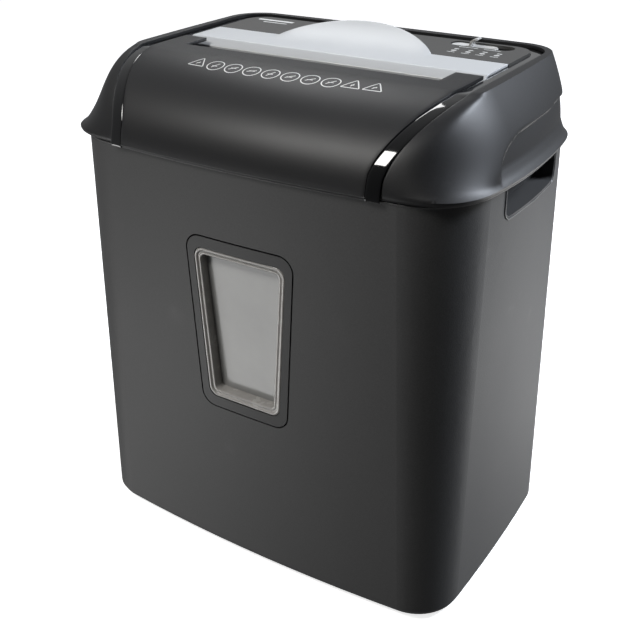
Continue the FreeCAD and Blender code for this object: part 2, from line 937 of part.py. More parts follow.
def make_throat():
    """Two sloping walls that lead the paper from the slot down to the cutters, joined by end cheeks."""
    high = size.deck_top - 9
    low = size.throat_low
    wall = size.throat_wall
    half = size.slot_half
    centre = size.nip_line
    start = float(-half - 3)

    def slope(name, top_y, low_y, thick):
        outline = polygon(
            [
                (start, top_y, high), (start, low_y, low), (start, low_y + thick, low),
                (start, top_y + thick, high),
            ],
        )
        return prism(name, outline, (1, 0, 0), half * 2 + 6)

    front = slope("throat_front", size.slot_front, centre - size.nip_half, -wall)
    back = slope("throat_back", size.slot_back, centre + size.nip_half, wall)
    cheeks = []
    for side, sign in (("left", -1), ("right", 1)):
        near = sign * (half + 1.5) - 1.5
        cheeks.append(
            box(
                f"throat_cheek_{side}", (near, size.slot_front - wall, low),
                (near + 3, size.slot_back + wall, high),
            ),
        )
    lever_slot = box("lever_slot", (-2.5, centre, low - 1), (2.5, size.slot_back + 5, high - 2))
    walls = cut("throat_walls", fuse("throat_walls", front, back, *cheeks), lever_slot)
    ears = [
        box(f"throat_ear_{sign}", (4.4 * sign - 1, 3, 383), (4.4 * sign + 1, 13, 393))
        for sign in (-1, 1)
    ]
    bore = rod("throat_ear_bore", 1.55, -8, 8, 9, 389)
    keep(cut("paper_throat", fuse("throat", walls, *ears), bore), "paper_throat")


def make_sensor():
    """The lever that paper pushes aside, its pin, and the switch that it works."""
    hub = rod("lever_hub", 3, -2, 2, 9, 389)
    arm = box("lever_arm", (-1.5, -7, 387.6), (1.5, 8, 389.6))
    tail = box("lever_tail", (-1.5, 7.6, 378), (1.5, 10.4, 389))
    bore = rod("lever_bore", 1.6, -3, 3, 9, 389)
    keep(cut("paper_lever", fuse("lever", hub, arm, tail), bore), "paper_lever")
    keep(rod("lever_pin_bar", 1.5, -6, 6, 9, 389), "lever_pin")
    keep(box("sensor_switch_box", (-7, 16, 376), (7, 24, 390)), "sensor_switch")


# ---------------------------------------------------------------- cutting unit

def axis_y(which):
    return size.nip_line + (size.cutter_gap / 2 if which == "rear" else -size.cutter_gap / 2)


def gear_places():
    """The axes of the drive train, each set off from the last by a gear centre distance at its angle."""
    y = float(axis_y("rear"))
    z = float(size.axis_height)
    places = {"rear": (y, z)}
    steps = (
        ("second", size.second_angle, size.drive_module, DRIVE_TEETH),
        ("first", size.first_angle, size.middle_module, MIDDLE_TEETH),
        ("motor", size.motor_angle, size.motor_module, FIRST_TEETH),
    )
    for name, angle, module, teeth in steps:
        distance = float(module) * (teeth + PINION_TEETH) / 2
        y += distance * math.cos(math.radians(float(angle)))
        z += distance * math.sin(math.radians(float(angle)))
        places[name] = (y, z)
    return places


def gear_wire(teeth, module, phase):
    """An involute gear in the YZ plane: stub teeth, 25 degrees of pressure angle and a little backlash."""
    module = float(module)
    pitch = module * teeth / 2
    pressure = math.radians(25)
    base = pitch * math.cos(pressure)
    tip = pitch + 0.8 * module
    root = pitch - 1.05 * module
    half_pitch_angle = math.pi / (2 * teeth) - 0.06 * module / pitch
    full = math.tan(pressure) - pressure

    def half_angle(radius):
        angle = math.acos(min(1, base / radius))
        return half_pitch_angle + full - (math.tan(angle) - angle)

    start = max(base, root)
    steps = [start + (tip - start) * share for share in (0, 0.3, 0.65, 1)]
    radii = ([root] if root < base else []) + steps
    points = []
    for tooth in range(teeth):
        middle = phase + 2 * math.pi * tooth / teeth
        flank = [(radius, half_angle(max(radius, base))) for radius in radii]
        outline = [(radius, middle - angle) for radius, angle in flank] + [
            (radius, middle + angle)
            for radius, angle in reversed(flank)
        ]
        points += [
            Vector(0, radius * math.cos(angle), radius * math.sin(angle))
            for radius, angle in outline
        ]
    return Part.makePolygon(points + points[:1])


def mesh_phase(teeth, other_teeth, other_phase, other, own):
    """The phase that puts a gap of this gear opposite a tooth of the gear it meshes with."""
    direction = math.atan2(own[1] - other[1], own[0] - other[0])
    share = (direction - other_phase) / (2 * math.pi / other_teeth)
    return direction + math.pi - (0.5 - share) * 2 * math.pi / teeth


def gear(name, teeth, module, phase, low_x, thick, y, z):
    item = prism(name, gear_wire(teeth, module, phase), (1, 0, 0), thick)
    return place(item, low_x, y, z)


def disc_face(radius, turn):
    """A cutter disc: four hooked notches in its edge and a hexagon bore."""
    radius = float(radius)
    notch = 3.2
    edges = []
    for index in range(4):
        start = turn + index * math.pi / 2
        steps = [(radius, start), (radius, start + 0.66), (radius, start + 1.32)]
        tip, middle, end = [Vector(0, r * math.cos(a), r * math.sin(a)) for r, a in steps]
        hook = start + math.pi / 2
        dip = Vector(0, (radius - notch) * math.cos(hook), (radius - notch) * math.sin(hook))
        following = Vector(0, radius * math.cos(hook), radius * math.sin(hook))
        edges += [
            Part.Arc(tip, middle, end).toShape(), Part.LineSegment(end, dip).toShape(),
            Part.LineSegment(dip, following).toShape(),
        ]
    return Part.Face(Part.Wire(edges)).cut(Part.Face(Part.Wire(hexagon())))


def hexagon():
    reach = float(size.hex_flats) / math.sqrt(3)
    points = [
        Vector(0, reach * math.cos(i * math.pi / 3), reach * math.sin(i * math.pi / 3))
        for i in range(6)
    ]
    return Part.makePolygon(points + points[:1])


def disc_centres(which):
    pitch = float(size.disc_pitch)
    count = 22 if which == "front" else 21
    return [pitch * (index - (count - 1) / 2) for index in range(count)]


def make_cutter(which):
    y = float(axis_y(which))
    z = float(size.axis_height)
    thick = float(size.disc_thick)
    end = float(size.stack_half)
    centres = disc_centres(which)
    hand = 1 if which == "front" else -1
    discs = []
    for index, x in enumerate(centres):
        disc = disc_face(size.disc_radius, hand * index * math.radians(12)).extrude(Vector(thick, 0, 0))
        disc.translate(Vector(x - thick / 2, y, z))
        discs.append(disc)
    keep(feature(f"{which}_disc_stack", Part.Compound(discs)), f"{which}_cutter_discs")

    edges = [-end] + [value for x in centres for value in (x - thick / 2, x + thick / 2)] + [end]
    spacers = []
    circle = Part.Wire(Part.makeCircle(float(size.spacer_radius), Vector(), Vector(1, 0, 0)))
    ring = Part.Face(circle).cut(Part.Face(Part.Wire(hexagon())))
    for low, high in zip(edges[0::2], edges[1::2]):
        spacer = ring.extrude(Vector(high - low, 0, 0))
        spacer.translate(Vector(low, y, z))
        spacers.append(spacer)
    keep(feature(f"{which}_spacer_stack", Part.Compound(spacers)), f"{which}_cutter_spacers")

    hexagonal = prism(f"{which}_hexagonal", hexagon(), (1, 0, 0), size.stack_half * 2)
    place(hexagonal, -size.stack_half, y, z)
    right_end = size.cover_x + 1.5 if which == "rear" else size.frame_x + 6
    journal = rod(f"{which}_journal", size.journal_radius, -size.frame_x - 19, right_end, y, z)
    keep(fuse(f"{which}_shaft", hexagonal, journal), f"{which}_cutter_shaft")


def ring_along(name, outer, inner, low_x, high_x, y, z):
    """A bush or a clip: a round tube along X."""
    body = rod(f"{name}_body", outer, low_x, high_x, y, z)
    bore = rod(f"{name}_bore", inner, low_x - 1, high_x + 1, y, z)
    return cut(name, body, bore)


def make_bushes():
    bore = size.journal_radius + size.running_gap
    bushes = []
    for which in ("front", "rear"):
        for side, low in (("left", -size.frame_x - 5.5), ("right", size.frame_x - 2.5)):
            name = f"bush_{which}_{side}"
            bushes.append(
                ring_along(name, size.bush_radius, bore, low, low + 8, axis_y(which), size.axis_height),
            )
    keep(group("bushes", *bushes), "shaft_bushes")


def make_timing_gears():
    front = (float(axis_y("front")), float(size.axis_height))
    rear = (float(axis_y("rear")), float(size.axis_height))
    phases = {"rear": 0}
    phases["front"] = mesh_phase(TIMING_TEETH, TIMING_TEETH, 0, rear, front)
    low = -size.frame_x - 16.5
    for which, (y, z) in (("front", front), ("rear", rear)):
        wheel = gear(
            f"{which}_timing_wheel", TIMING_TEETH, size.timing_module, phases[which], low, 10, y, z,
        )
        bore = rod(f"{which}_timing_bore", size.journal_radius + 0.02, low - 1, low + 11, y, z)
        keep(cut(f"{which}_timing", wheel, bore), f"{which}_timing_gear")
        clip = ring_along(f"{which}_clip_ring", 8.5, size.journal_radius + 0.02, low - 1.3, low - 0.1, y, z)
        keep(clip, f"{which}_shaft_clip")


def make_drive_train():
    """Three reductions, each in its own layer outside the right-hand frame plate."""
    places = gear_places()
    first_layer = size.frame_x + size.frame_thick + 1.5
    second_layer = first_layer + size.gear_thick + 1
    third_layer = second_layer + size.gear_thick + 1
    thick = size.gear_thick
    bore = size.pin_radius + size.running_gap

    y, z = places["rear"]
    wheel = gear("drive_wheel", DRIVE_TEETH, size.drive_module, 0, third_layer, 9, y, z)
    keep(
        cut(
            "drive_gear", wheel,
            rod("drive_bore", size.journal_radius + 0.02, third_layer - 1, third_layer + 10, y, z),
        ),
        "drive_gear",
    )

    phase = mesh_phase(PINION_TEETH, DRIVE_TEETH, 0, places["rear"], places["second"])
    y, z = places["second"]
    pinion = gear("second_pinion", PINION_TEETH, size.drive_module, phase, third_layer - 1, 10, y, z)
    wheel = gear("second_wheel", MIDDLE_TEETH, size.middle_module, 0, second_layer, thick, y, z)
    tunnel = rod("second_bore", bore, second_layer - 1, third_layer + 12, y, z)
    keep(cut("second_gear", fuse("second_gear", wheel, pinion), tunnel), "second_reduction_gear")

    phase = mesh_phase(PINION_TEETH, MIDDLE_TEETH, 0, places["second"], places["first"])
    y, z = places["first"]
    pinion = gear(
        "first_pinion", PINION_TEETH, size.middle_module, phase, second_layer - 1, thick + 1, y, z,
    )
    wheel = gear("first_wheel", FIRST_TEETH, size.motor_module, 0, first_layer, thick, y, z)
    tunnel = rod("first_bore", bore, first_layer - 1, third_layer, y, z)
    keep(cut("first_gear", fuse("first_gear", wheel, pinion), tunnel), "first_reduction_gear")

    phase = mesh_phase(PINION_TEETH, FIRST_TEETH, 0, places["first"], places["motor"])
    y, z = places["motor"]
    pinion = gear("motor_pinion_wheel", PINION_TEETH, size.motor_module, phase, first_layer, thick, y, z)
    keep(
        cut(
            "motor_pinion", pinion,
            rod("motor_pinion_bore", size.motor_shaft + 0.02, first_layer - 1, first_layer + 8, y, z),
        ),
        "motor_pinion",
    )

    pins = [
        rod(f"{name}_pin", size.pin_radius, size.frame_x, size.cover_x + 2, *places[name])
        for name in ("first", "second")
    ]
    keep(group("pins", *pins), "gear_pins")


def frame_holes(side):
    """Holes of a frame plate, as across, up and radius: bush seats, rods and, on the right, gear pins."""
    holes = [(axis_y(which), size.axis_height, size.bush_radius + 0.03) for which in ("front", "rear")]
    holes += [(y, z, size.rod_radius * 0.6 + 0.03) for y, z in rod_places()]
    if side == "right":
        places = gear_places()
        holes += [(*places[name], size.pin_radius + 0.03) for name in ("first", "second")]
        holes.append((*places["motor"], 7))
    return holes


def rod_places():
    return [(-50, 331), (-50, 386), (44, 388), (44.5, 329)]


def make_frame():
    for side, low in (("left", -size.frame_x - size.frame_thick), ("right", size.frame_x)):
        body, sketch = body_on(f"frame_{side}", "YZ_Plane")
        sketch_rectangle(sketch, (size.frame_front, size.frame_low), (size.frame_back, size.frame_high))
        for across, up, radius in frame_holes(side):
            sketch_circle(sketch, across, up, radius)
        pad(body, sketch, size.frame_thick)
        place(body, low)
        keep(body, f"{side}_frame_plate")
    rods = []
    for index, (y, z) in enumerate(rod_places()):
        thick = rod(f"rod_{index}", size.rod_radius, -size.frame_x, size.frame_x, y, z)
        stub = rod(
            f"rod_stub_{index}", size.rod_radius * 0.6, -size.frame_x - 4.5, size.frame_x + 4.5, y, z,
        )
        rods.append(fuse(f"rod_{index}", thick, stub))
    keep(group("rods", *rods), "tie_rods")
    for which, sign in (("front", -1), ("rear", 1)):
        make_comb(which, sign)


def make_comb(which, sign):
    """A bar with a finger in each gap between the discs, which strips the chips off the spacers."""
    centre = axis_y(which)
    near = centre + sign * (size.spacer_radius + 0.6)
    far = near + sign * size.comb_reach
    back = far + sign * size.comb_thick
    low_z = size.axis_height - size.comb_height / 2
    high_z = size.axis_height + size.comb_height / 2
    pieces = [
        box(
            f"{which}_comb_bar", (-size.frame_x, min(far, back, key=float), low_z),
            (size.frame_x, max(far, back, key=float), high_z),
        ),
    ]
    centres = disc_centres(which)
    for index in range(len(centres) - 1):
        middle = (centres[index] + centres[index + 1]) / 2
        low_y, high_y = sorted((near, far), key=float)
        pieces.append(box(
            f"{which}_finger_{index}",
            (middle - size.disc_thick / 2, low_y, low_z + 3),
            (middle + size.disc_thick / 2, high_y, high_z - 3),
        ))
    keep(fuse(f"{which}_comb", *pieces), f"{which}_stripper_comb")


def make_gearbox_cover():
    """A flat plate over the gears on four posts."""
    places = gear_places()
    body, sketch = body_on("gear_cover", "YZ_Plane")
    sketch_rectangle(sketch, (-12, size.frame_low + 2), (72, 393))
    for name in ("first", "second"):
        sketch_circle(sketch, *places[name], size.pin_radius + 0.03)
    sketch_circle(sketch, *places["rear"], size.journal_radius + size.running_gap)
    pad(body, sketch, 2)
    place(body, size.cover_x)
    keep(body, "gearbox_cover")
    corners = ((-6, 330), (-6, 388), (66, 388), (66, 330))
    start = size.frame_x + size.frame_thick
    spacers = [rod(f"cover_post_{i}", 4, start, size.cover_x, y, z) for i, (y, z) in enumerate(corners)]
    keep(group("cover_posts", *spacers), "gearbox_posts")


def make_motor():
    y, z = gear_places()["motor"]
    right = size.frame_x
    left = right - size.motor_length
    wall = 2
    can = rod("motor_can", size.motor_radius, left, right, y, z)
    room = rod("motor_room", size.motor_radius - wall, left - 1, right - wall, y, z)
    nose = rod("motor_nose", size.motor_shaft + size.running_gap, left, right + 1, y, z)
    keep(cut("motor_case", can, room, nose), "motor_case")
    cap = rod("motor_cap_disc", size.motor_radius - wall - 0.05, left + 1, left + 4, y, z)
    cap_bore = rod("motor_cap_bore", size.motor_shaft + size.running_gap, left, left + 5, y, z)
    keep(cut("motor_cap", cap, cap_bore), "motor_end_cap")
    core = rod("armature_core", size.motor_radius - 8, left + 16, right - 18, y, z)
    core_bore = rod("armature_bore", size.motor_shaft + 0.02, left + 15, right - 17, y, z)
    keep(cut("armature", core, core_bore), "motor_armature")
    keep(rod("motor_shaft_bar", size.motor_shaft, left - 12, right + 11, y, z), "motor_shaft")
    make_fan(left, y, z)
    thermal = box(
        "cutout_body", (left + 30, y - 7, z + size.motor_radius + 0.3),
        (left + 50, y + 7, z + size.motor_radius + 5.3),
    )
    keep(thermal, "thermal_cutout")


def make_fan(left, y, z):
    """A hub with six flat blades that pulls air along the motor."""
    hub = rod("fan_hub", 6, left - 10, left - 2, y, z)
    blades = []
    for index in range(6):
        blade = doc.addObject("Part::Box", f"fan_blade_{index}")
        bind(blade, Length=7, Width=1.4, Height=15)
        turn = index * 60
        side = Vector(0, -0.7, 5)
        spin = FreeCAD.Rotation(Vector(1, 0, 0), turn)
        blade.Placement = FreeCAD.Placement(Vector(float(left) - 9.5, y, z) + spin.multVec(side), spin)
        blades.append(blade)
    bore = rod("fan_bore", size.motor_shaft + 0.02, left - 12, left, y, z)
    keep(cut("fan", fuse("fan", hub, *blades), bore), "motor_fan")


# ---------------------------------------------------------------- bottom cover and electrics

def make_bottom_cover():
    """A flange that closes the housing and a tub that holds the cutting unit, open under the cutters."""
    low, high = size.flange_low, size.flange_low + 2.5
    slab = box("flange_slab", (-200, -150, low), (200, 150, high))
    flange_form = common(
        "flange_form", loft("flange_loft", flange_wires()),
        cowl_solid("flange_cowl", size.head_wall + 0.4),
    )
    flange = common("flange", slab, flange_form)
    tub = tub_prism("tub_outside", 0, size.tub_floor, high)
    room = tub_prism("tub_room", size.tub_wall, size.tub_floor + size.tub_wall, high + 5)
    outlet = box(
        "outlet", (-size.outlet_half, size.outlet_front, size.tub_floor - 5),
        (size.outlet_half, size.outlet_back, size.tub_floor + 5),
    )
    holes = [
        post(f"flange_hole_{i}", 1.9, x, y, low - 1, high + 1)
        for i, (x, y) in enumerate(side_bosses() + front_bosses())
    ]
    plunger_hole = post("plunger_hole", 3.1, 0, -97, low - 1, high + 1)
    cover = cut(
        "bottom_cover", fuse("bottom_cover", flange, tub), room, outlet,
        group("flange_holes", *holes), plunger_hole,
    )
    keep(cover, "bottom_cover")
    screws = []
    for index, (x, y) in enumerate(side_bosses() + front_bosses()):
        head = post(f"screw_head_{index}", 3, x, y, low - 1, low)
        shank = post(f"screw_shank_{index}", 1.4, x, y, low - 0.5, low + 14)
        screws.append(fuse(f"screw_{index}", head, shank))
    keep(group("screws", *screws), "casing_screws")


def flange_wires():
    """The flange fills the inside of the lip, which is drawn in furthest at the flange's underside."""
    inset = float(size.head_wall + size.lip_bulge) - 0.5
    half_width = size.head_width / 2 - inset
    half_depth = size.head_depth / 2 - inset
    corner = size.head_corner - inset
    bow_front, bow_side = size.head_bow_front, size.head_bow_side
    return [
        bowed_outline(half_width, half_depth, bow_front, bow_side, corner, z, size.head_shift)
        for z in (340, 356)
    ]


def tub_prism(name, inset, low, high):
    half = float(size.tub_half - inset)
    front = float(size.tub_front + inset)
    back = float(size.tub_back - inset)
    low = float(low)
    corners = [
        Vector(-half, front, low), Vector(half, front, low), Vector(half, back, low),
        Vector(-half, back, low),
    ]
    radius = float(size.tub_round - inset)
    return prism(name, rounded_polygon(corners, [radius] * 4), (0, 0, 1), high - low)


def make_bin_switch():
    """A sprung plunger that the tab on the bin pushes when the head is seated."""
    stem = post("plunger_stem", 3, 0, -97, size.bin_top - 0.6, 357)
    collar = post("plunger_collar", 5, 0, -97, 352, 354)
    keep(fuse("plunger", stem, collar), "bin_switch_plunger")
    keep(box("bin_switch_box", (-9, -101, 360.5), (9, -85, 368)), "bin_switch")


def make_electrics():
    body, sketch = body_on("board", "XY_Plane")
    sketch_rectangle(sketch, (size.board_low_x, size.board_front), (size.board_high_x, size.board_back))
    for x in (size.board_low_x + 5, size.board_high_x - 5):
        for y in (size.board_front + 5, size.board_back - 5):
            sketch_circle(sketch, x, y, 1.6)
    pad(body, sketch, 1.6)
    place(body, 0, 0, size.board_z)
    keep(body, "control_board")
    top = size.board_z + 1.6
    keep(post("capacitor_can", 9, size.board_low_x + 22, 82, top, top + 22), "board_capacitor")
    keep(box("relay_box", (-66, 64, float(top)), (-46, 80, float(top) + 15)), "board_relay")
    keep(box("terminal_box", (-40, 84, float(top)), (-22, 94, float(top) + 10)), "board_terminals")
    keep(box("micro_box", (90, 84, 380), (112, 98, 393)), "slider_contact")
    posts = [
        post(f"board_post_{index}", 3.5, x, y, size.tub_floor + size.tub_wall, size.board_z)
        for index, (x, y) in enumerate(
            (x, y)
            for x in (size.board_low_x + 5, size.board_high_x - 5)
            for y in (size.board_front + 5, size.board_back - 5)
        )
    ]
    keep(group("board_posts", *posts), "board_posts")


# ---------------------------------------------------------------- checks and files

def check_document():
    doc.recompute()
    failed = [item.Label for item in doc.Objects if {"Invalid", "Error"} & set(item.State)]
    if failed:
        raise RuntimeError(f"failed to build: {failed}")
    for item in sub_parts:
        shape = item.Shape
        if shape.isNull() or not shape.isValid() or not shape.Solids:
            raise RuntimeError(f"bad shape: {item.Label}")


def write_files():
    os.makedirs("parts", exist_ok=True)
    for item in sub_parts:
        item.Shape.exportStep(f"parts/{item.Label}.step")
        span = item.Shape.BoundBox
        print(f"{item.Label:26s} solids {len(item.Shape.Solids):3d}  volume {item.Shape.Volume:10.0f}"
              f"  x {span.XMin:7.1f} {span.XMax:7.1f}  y {span.YMin:7.1f} {span.YMax:7.1f}"
              f"  z {span.ZMin:6.1f} {span.ZMax:6.1f}")


bin_outer, bin_inner = make_bin()
make_window(bin_outer, bin_inner)
make_feet()
make_covers()
make_gland()
make_deck()
make_entry_plate()
make_switch()
make_throat()
make_sensor()
for cutter in ("front", "rear"):
    make_cutter(cutter)
make_bushes()
make_timing_gears()
make_drive_train()
make_frame()
make_gearbox_cover()
make_motor()
make_bottom_cover()
make_bin_switch()
make_electrics()
check_document()
write_files()
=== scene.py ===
import bpy
import numpy as np
from mathutils import Matrix, Vector


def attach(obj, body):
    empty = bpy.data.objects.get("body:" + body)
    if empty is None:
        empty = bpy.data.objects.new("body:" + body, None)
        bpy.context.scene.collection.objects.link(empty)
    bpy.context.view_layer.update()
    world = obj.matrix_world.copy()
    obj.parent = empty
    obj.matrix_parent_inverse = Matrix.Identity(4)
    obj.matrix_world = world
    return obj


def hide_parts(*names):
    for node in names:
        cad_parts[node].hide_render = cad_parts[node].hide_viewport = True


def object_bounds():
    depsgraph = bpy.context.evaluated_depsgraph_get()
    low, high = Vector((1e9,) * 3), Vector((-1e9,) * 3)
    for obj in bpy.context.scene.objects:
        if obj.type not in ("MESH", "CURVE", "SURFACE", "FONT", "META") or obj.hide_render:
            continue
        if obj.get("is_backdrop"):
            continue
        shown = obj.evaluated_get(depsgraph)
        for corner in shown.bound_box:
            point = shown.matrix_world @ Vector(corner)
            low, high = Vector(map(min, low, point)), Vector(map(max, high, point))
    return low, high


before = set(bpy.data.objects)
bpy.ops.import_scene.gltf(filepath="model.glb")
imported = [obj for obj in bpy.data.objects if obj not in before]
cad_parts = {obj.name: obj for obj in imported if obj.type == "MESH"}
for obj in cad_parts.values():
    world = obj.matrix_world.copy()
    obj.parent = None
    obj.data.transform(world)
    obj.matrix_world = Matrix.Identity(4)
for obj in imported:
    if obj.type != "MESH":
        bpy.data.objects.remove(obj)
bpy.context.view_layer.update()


# ---- paper sweep and soft boxes
# The shredder stands on a white paper sweep. Soft boxes above it to the front, the back and the right light
# the head, and two low ones, to the left and behind to the right, graze the walls of the bin.

class Signal:
    """One output of a shader node. Arithmetic on a number's output adds Math nodes."""

    def __init__(self, finish, socket):
        self.finish = finish
        self.socket = socket

    def math(self, operation, *terms):
        return self.finish.node("ShaderNodeMath", {"operation": operation}, dict(enumerate(terms)))

    def __add__(self, other):
        return self.math("ADD", self, other)

    def __sub__(self, other):
        return self.math("SUBTRACT", self, other)

    def __rsub__(self, other):
        return self.math("SUBTRACT", other, self)

    def __mul__(self, other):
        return self.math("MULTIPLY", self, other)

    __radd__ = __add__
    __rmul__ = __mul__

    def clamp(self, low, high):
        """0 where the signal is at most low, 1 above high, and a smooth step from 0 to 1 between."""
        sockets = {"Value": self, "From Min": low, "From Max": high}
        return self.finish.node("ShaderNodeMapRange", {"interpolation_type": "SMOOTHSTEP"}, sockets)


class Finish:
    """A material whose nodes are added one at a time. Constants go on the shader's own sockets."""

    def __init__(self, name, **constants):
        self.material = bpy.data.materials.new(name)
        self.material.use_nodes = True
        self.tree = self.material.node_tree
        self.shader = self.tree.nodes["Principled BSDF"]
        for socket, value in constants.items():
            self.shader.inputs[socket.replace("_", " ")].default_value = value

    def node(self, kind, settings=None, sockets=None, output=0):
        made = self.tree.nodes.new(kind)
        for key, value in (settings or {}).items():
            setattr(made, key, value)
        for key, value in (sockets or {}).items():
            self.link(made.inputs[key], value)
        return Signal(self, made.outputs[output])

    def link(self, socket, value):
        if isinstance(value, Signal):
            self.tree.links.new(value.socket, socket)
        else:
            socket.default_value = value

    def feed(self, **signals):
        """Joins what varies over the surface to the shader."""
        for socket, signal in signals.items():
            self.link(self.shader.inputs[socket.replace("_", " ")], signal)
        return self

    def place(self):
        return self.node("ShaderNodeTexCoord", output="Object")

    def noise(self, scale, detail=2.0, vector=None):
        sockets = {"Vector": vector or self.place(), "Scale": scale, "Detail": detail}
        return self.node("ShaderNodeTexNoise", {}, sockets)

    def mix(self, factor, first, second):
        sockets = {0: factor, 6: first, 7: second}
        return self.node("ShaderNodeMix", {"data_type": "RGBA"}, sockets, output=2)

    def bump(self, height, distance, strength=1.0):
        sockets = {"Height": height, "Distance": distance, "Strength": strength}
        return self.node("ShaderNodeBump", {}, sockets)


def put(piece, finish, body, slot=None, *nodes):
    """Gives a piece its finish and the body it rides on, and hides the CAD nodes it stands for. The slot is not
    used.
    """
    piece.data.materials.clear()
    piece.data.materials.append(finish.material)
    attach(piece, body)
    if nodes:
        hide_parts(*nodes)
    return piece


def mesh_piece(name, points, faces, smooth_angle=40):
    """A mesh object from an array of points and its faces, smooth but for folds sharper than the angle."""
    mesh = bpy.data.meshes.new(name)
    mesh.from_pydata(points.reshape(-1, 3).tolist(), [], faces if isinstance(faces, list) else faces.tolist())
    mesh.validate()
    mesh.polygons.foreach_set("use_smooth", np.ones(len(mesh.polygons), bool))
    mesh.set_sharp_from_angle(angle=np.radians(smooth_angle))
    mesh.update()
    piece = bpy.data.objects.new(name, mesh)
    bpy.context.scene.collection.objects.link(piece)
    return piece


def grid_faces(rows, columns, wrap_rows=False, wrap_columns=False, start=0, flip=False):
    """Four-sided faces over a grid of points, row by row, wrapping round where the surface closes."""
    row = np.arange(rows if wrap_rows else rows - 1)[:, None]
    column = np.arange(columns if wrap_columns else columns - 1)[None, :]
    next_row = (row + 1) % rows
    next_column = (column + 1) % columns
    corners = [
        row * columns + column,
        row * columns + next_column,
        next_row * columns + next_column,
        next_row * columns + column,
    ]
    faces = np.stack(corners, -1).reshape(-1, 4) + start
    return faces[:, ::-1] if flip else faces


def floor_sheet():
    """A flat sheet, z = 0, finely divided in the middle and coarse at its edges: x and y = 7 * t ^ 3."""
    spread = 7 * np.linspace(-1, 1, 41) ** 3
    points = np.stack(np.broadcast_arrays(spread[None, :], spread[:, None] + 1.5, 0.0), -1)
    return mesh_piece("paper_sweep", points, grid_faces(*points.shape[:2]))


sweep = floor_sheet()
paper = Finish("paper", Roughness=0.9, Specular_IOR_Level=0.1, Emission_Strength=0.8)
tooth = paper.noise(260.0, 3.0)
paper_tone = paper.mix(tooth, (0.93, 0.93, 0.93, 1), (0.97, 0.97, 0.97, 1))
paper.feed(Base_Color=paper_tone, Emission_Color=paper_tone, Normal=paper.bump(tooth, 0.0003, 0.3))
sweep.data.materials.append(paper.material)
sweep.visible_glossy = False
sweep.visible_diffuse = False
sweep.visible_shadow = False
sweep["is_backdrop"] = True

low_corner, high_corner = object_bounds()
centre = Vector(((low_corner[0] + high_corner[0]) / 2, (low_corner[1] + high_corner[1]) / 2, 0.25))


def soft_box(name, towards, distance, width, height, power, colour):
    """A rectangular light hung in a direction from the shredder's middle, facing it."""
    light = bpy.data.lights.new(name, "AREA")
    light.shape = "RECTANGLE"
    light.size = width
    light.size_y = height
    light.energy = power
    light.color = colour
    lamp = bpy.data.objects.new(name, light)
    direction = Vector(towards).normalized()
    lamp.location = centre + direction * distance
    lamp.rotation_euler = direction.to_track_quat("Z", "Y").to_euler()
    bpy.context.scene.collection.objects.link(lamp)


soft_box("front_box", (-0.29, -0.57, 0.72), 1.7, 0.6, 0.5, 15, (1.0, 0.985, 0.96))
soft_box("back_box", (-0.45, 0.51, 0.73), 1.7, 0.5, 0.4, 3.5, (1.0, 1.0, 1.0))
soft_box("left_box", (-0.60, -0.66, -0.46), 1.8, 1.2, 0.7, 9, (1.0, 1.0, 1.0))
soft_box("side_box", (0.58, 0.72, -0.42), 1.8, 1.2, 0.8, 8.5, (1.0, 1.0, 1.0))
soft_box("cheek_box", (0.62, 0.42, 0.66), 1.7, 0.6, 0.5, 34, (0.84, 0.90, 1.0))

room = bpy.data.worlds.new("white_room")
room.use_nodes = True
bpy.context.scene.world = room
backdrop = room.node_tree.nodes["Background"]
backdrop.inputs["Color"].default_value = (0.97, 0.985, 1.0, 1)


def world_node(kind, settings, **links):
    """A node of the white room, its settings first and then its sockets' values or links."""
    made = room.node_tree.nodes.new(kind)
    for key, value in settings.items():
        setattr(made, key, value)
    for key, value in links.items():
        socket = made.inputs[key.replace("_", " ")] if not key.startswith("n") else made.inputs[int(key[1:])]
        if isinstance(value, bpy.types.NodeSocket):
            room.node_tree.links.new(value, socket)
        else:
            socket.default_value = value
    return made


# The room is black cloth behind the camera and paler towards the far side, and plain white where it is seen.
seen = world_node("ShaderNodeLightPath", {})
towards = world_node("ShaderNodeTexCoord", {})
facing = world_node(
    "ShaderNodeVectorMath", {"operation": "DOT_PRODUCT"},
    n0=towards.outputs["Generated"], n1=(0.538, -0.843, 0.0),
)
cloth = world_node(
    "ShaderNodeMapRange", {},
    Value=facing.outputs["Value"], From_Min=-0.9, From_Max=0.9, To_Min=0.34, To_Max=0.02,
)
strength = world_node(
    "ShaderNodeMix", {"data_type": "FLOAT"},
    n0=seen.outputs["Is Camera Ray"], n2=cloth.outputs["Result"], n3=1.0,
)
room.node_tree.links.new(strength.outputs["Result"], backdrop.inputs["Strength"])
bpy.context.scene.view_settings.view_transform = "Standard"

# The camera looks down on the front and the right side from a little above.
eye = Vector((0.3895, -0.6133, 0.570))
yaw, pitch, roll = 0.5683, 0.4941, -0.008
forward = Vector((-np.sin(yaw) * np.cos(pitch), np.cos(yaw) * np.cos(pitch), -np.sin(pitch)))
level = Vector((np.cos(yaw), np.sin(yaw), 0))
upright = level.cross(forward)
right = level * np.cos(roll) + upright * np.sin(roll)
up = upright * np.cos(roll) - level * np.sin(roll)
lens = bpy.data.cameras.new("camera")
lens.lens = 53.97
lens.sensor_width = 36
camera = bpy.data.objects.new("camera", lens)
camera.matrix_world = Matrix((
    (right.x, up.x, -forward.x, eye.x),
    (right.y, up.y, -forward.y, eye.y),
    (right.z, up.z, -forward.z, eye.z),
    (0, 0, 0, 1),
))
bpy.context.scene.collection.objects.link(camera)
bpy.context.scene.camera = camera


# ---- bin
# The waste bin is one deep injection moulding in charcoal plastic with a fine spark-eroded grain.
# Its walls bow outward, a bead runs round its top edge where the cutter head sits, and a thinner bead
# edges the finger pocket in each side.

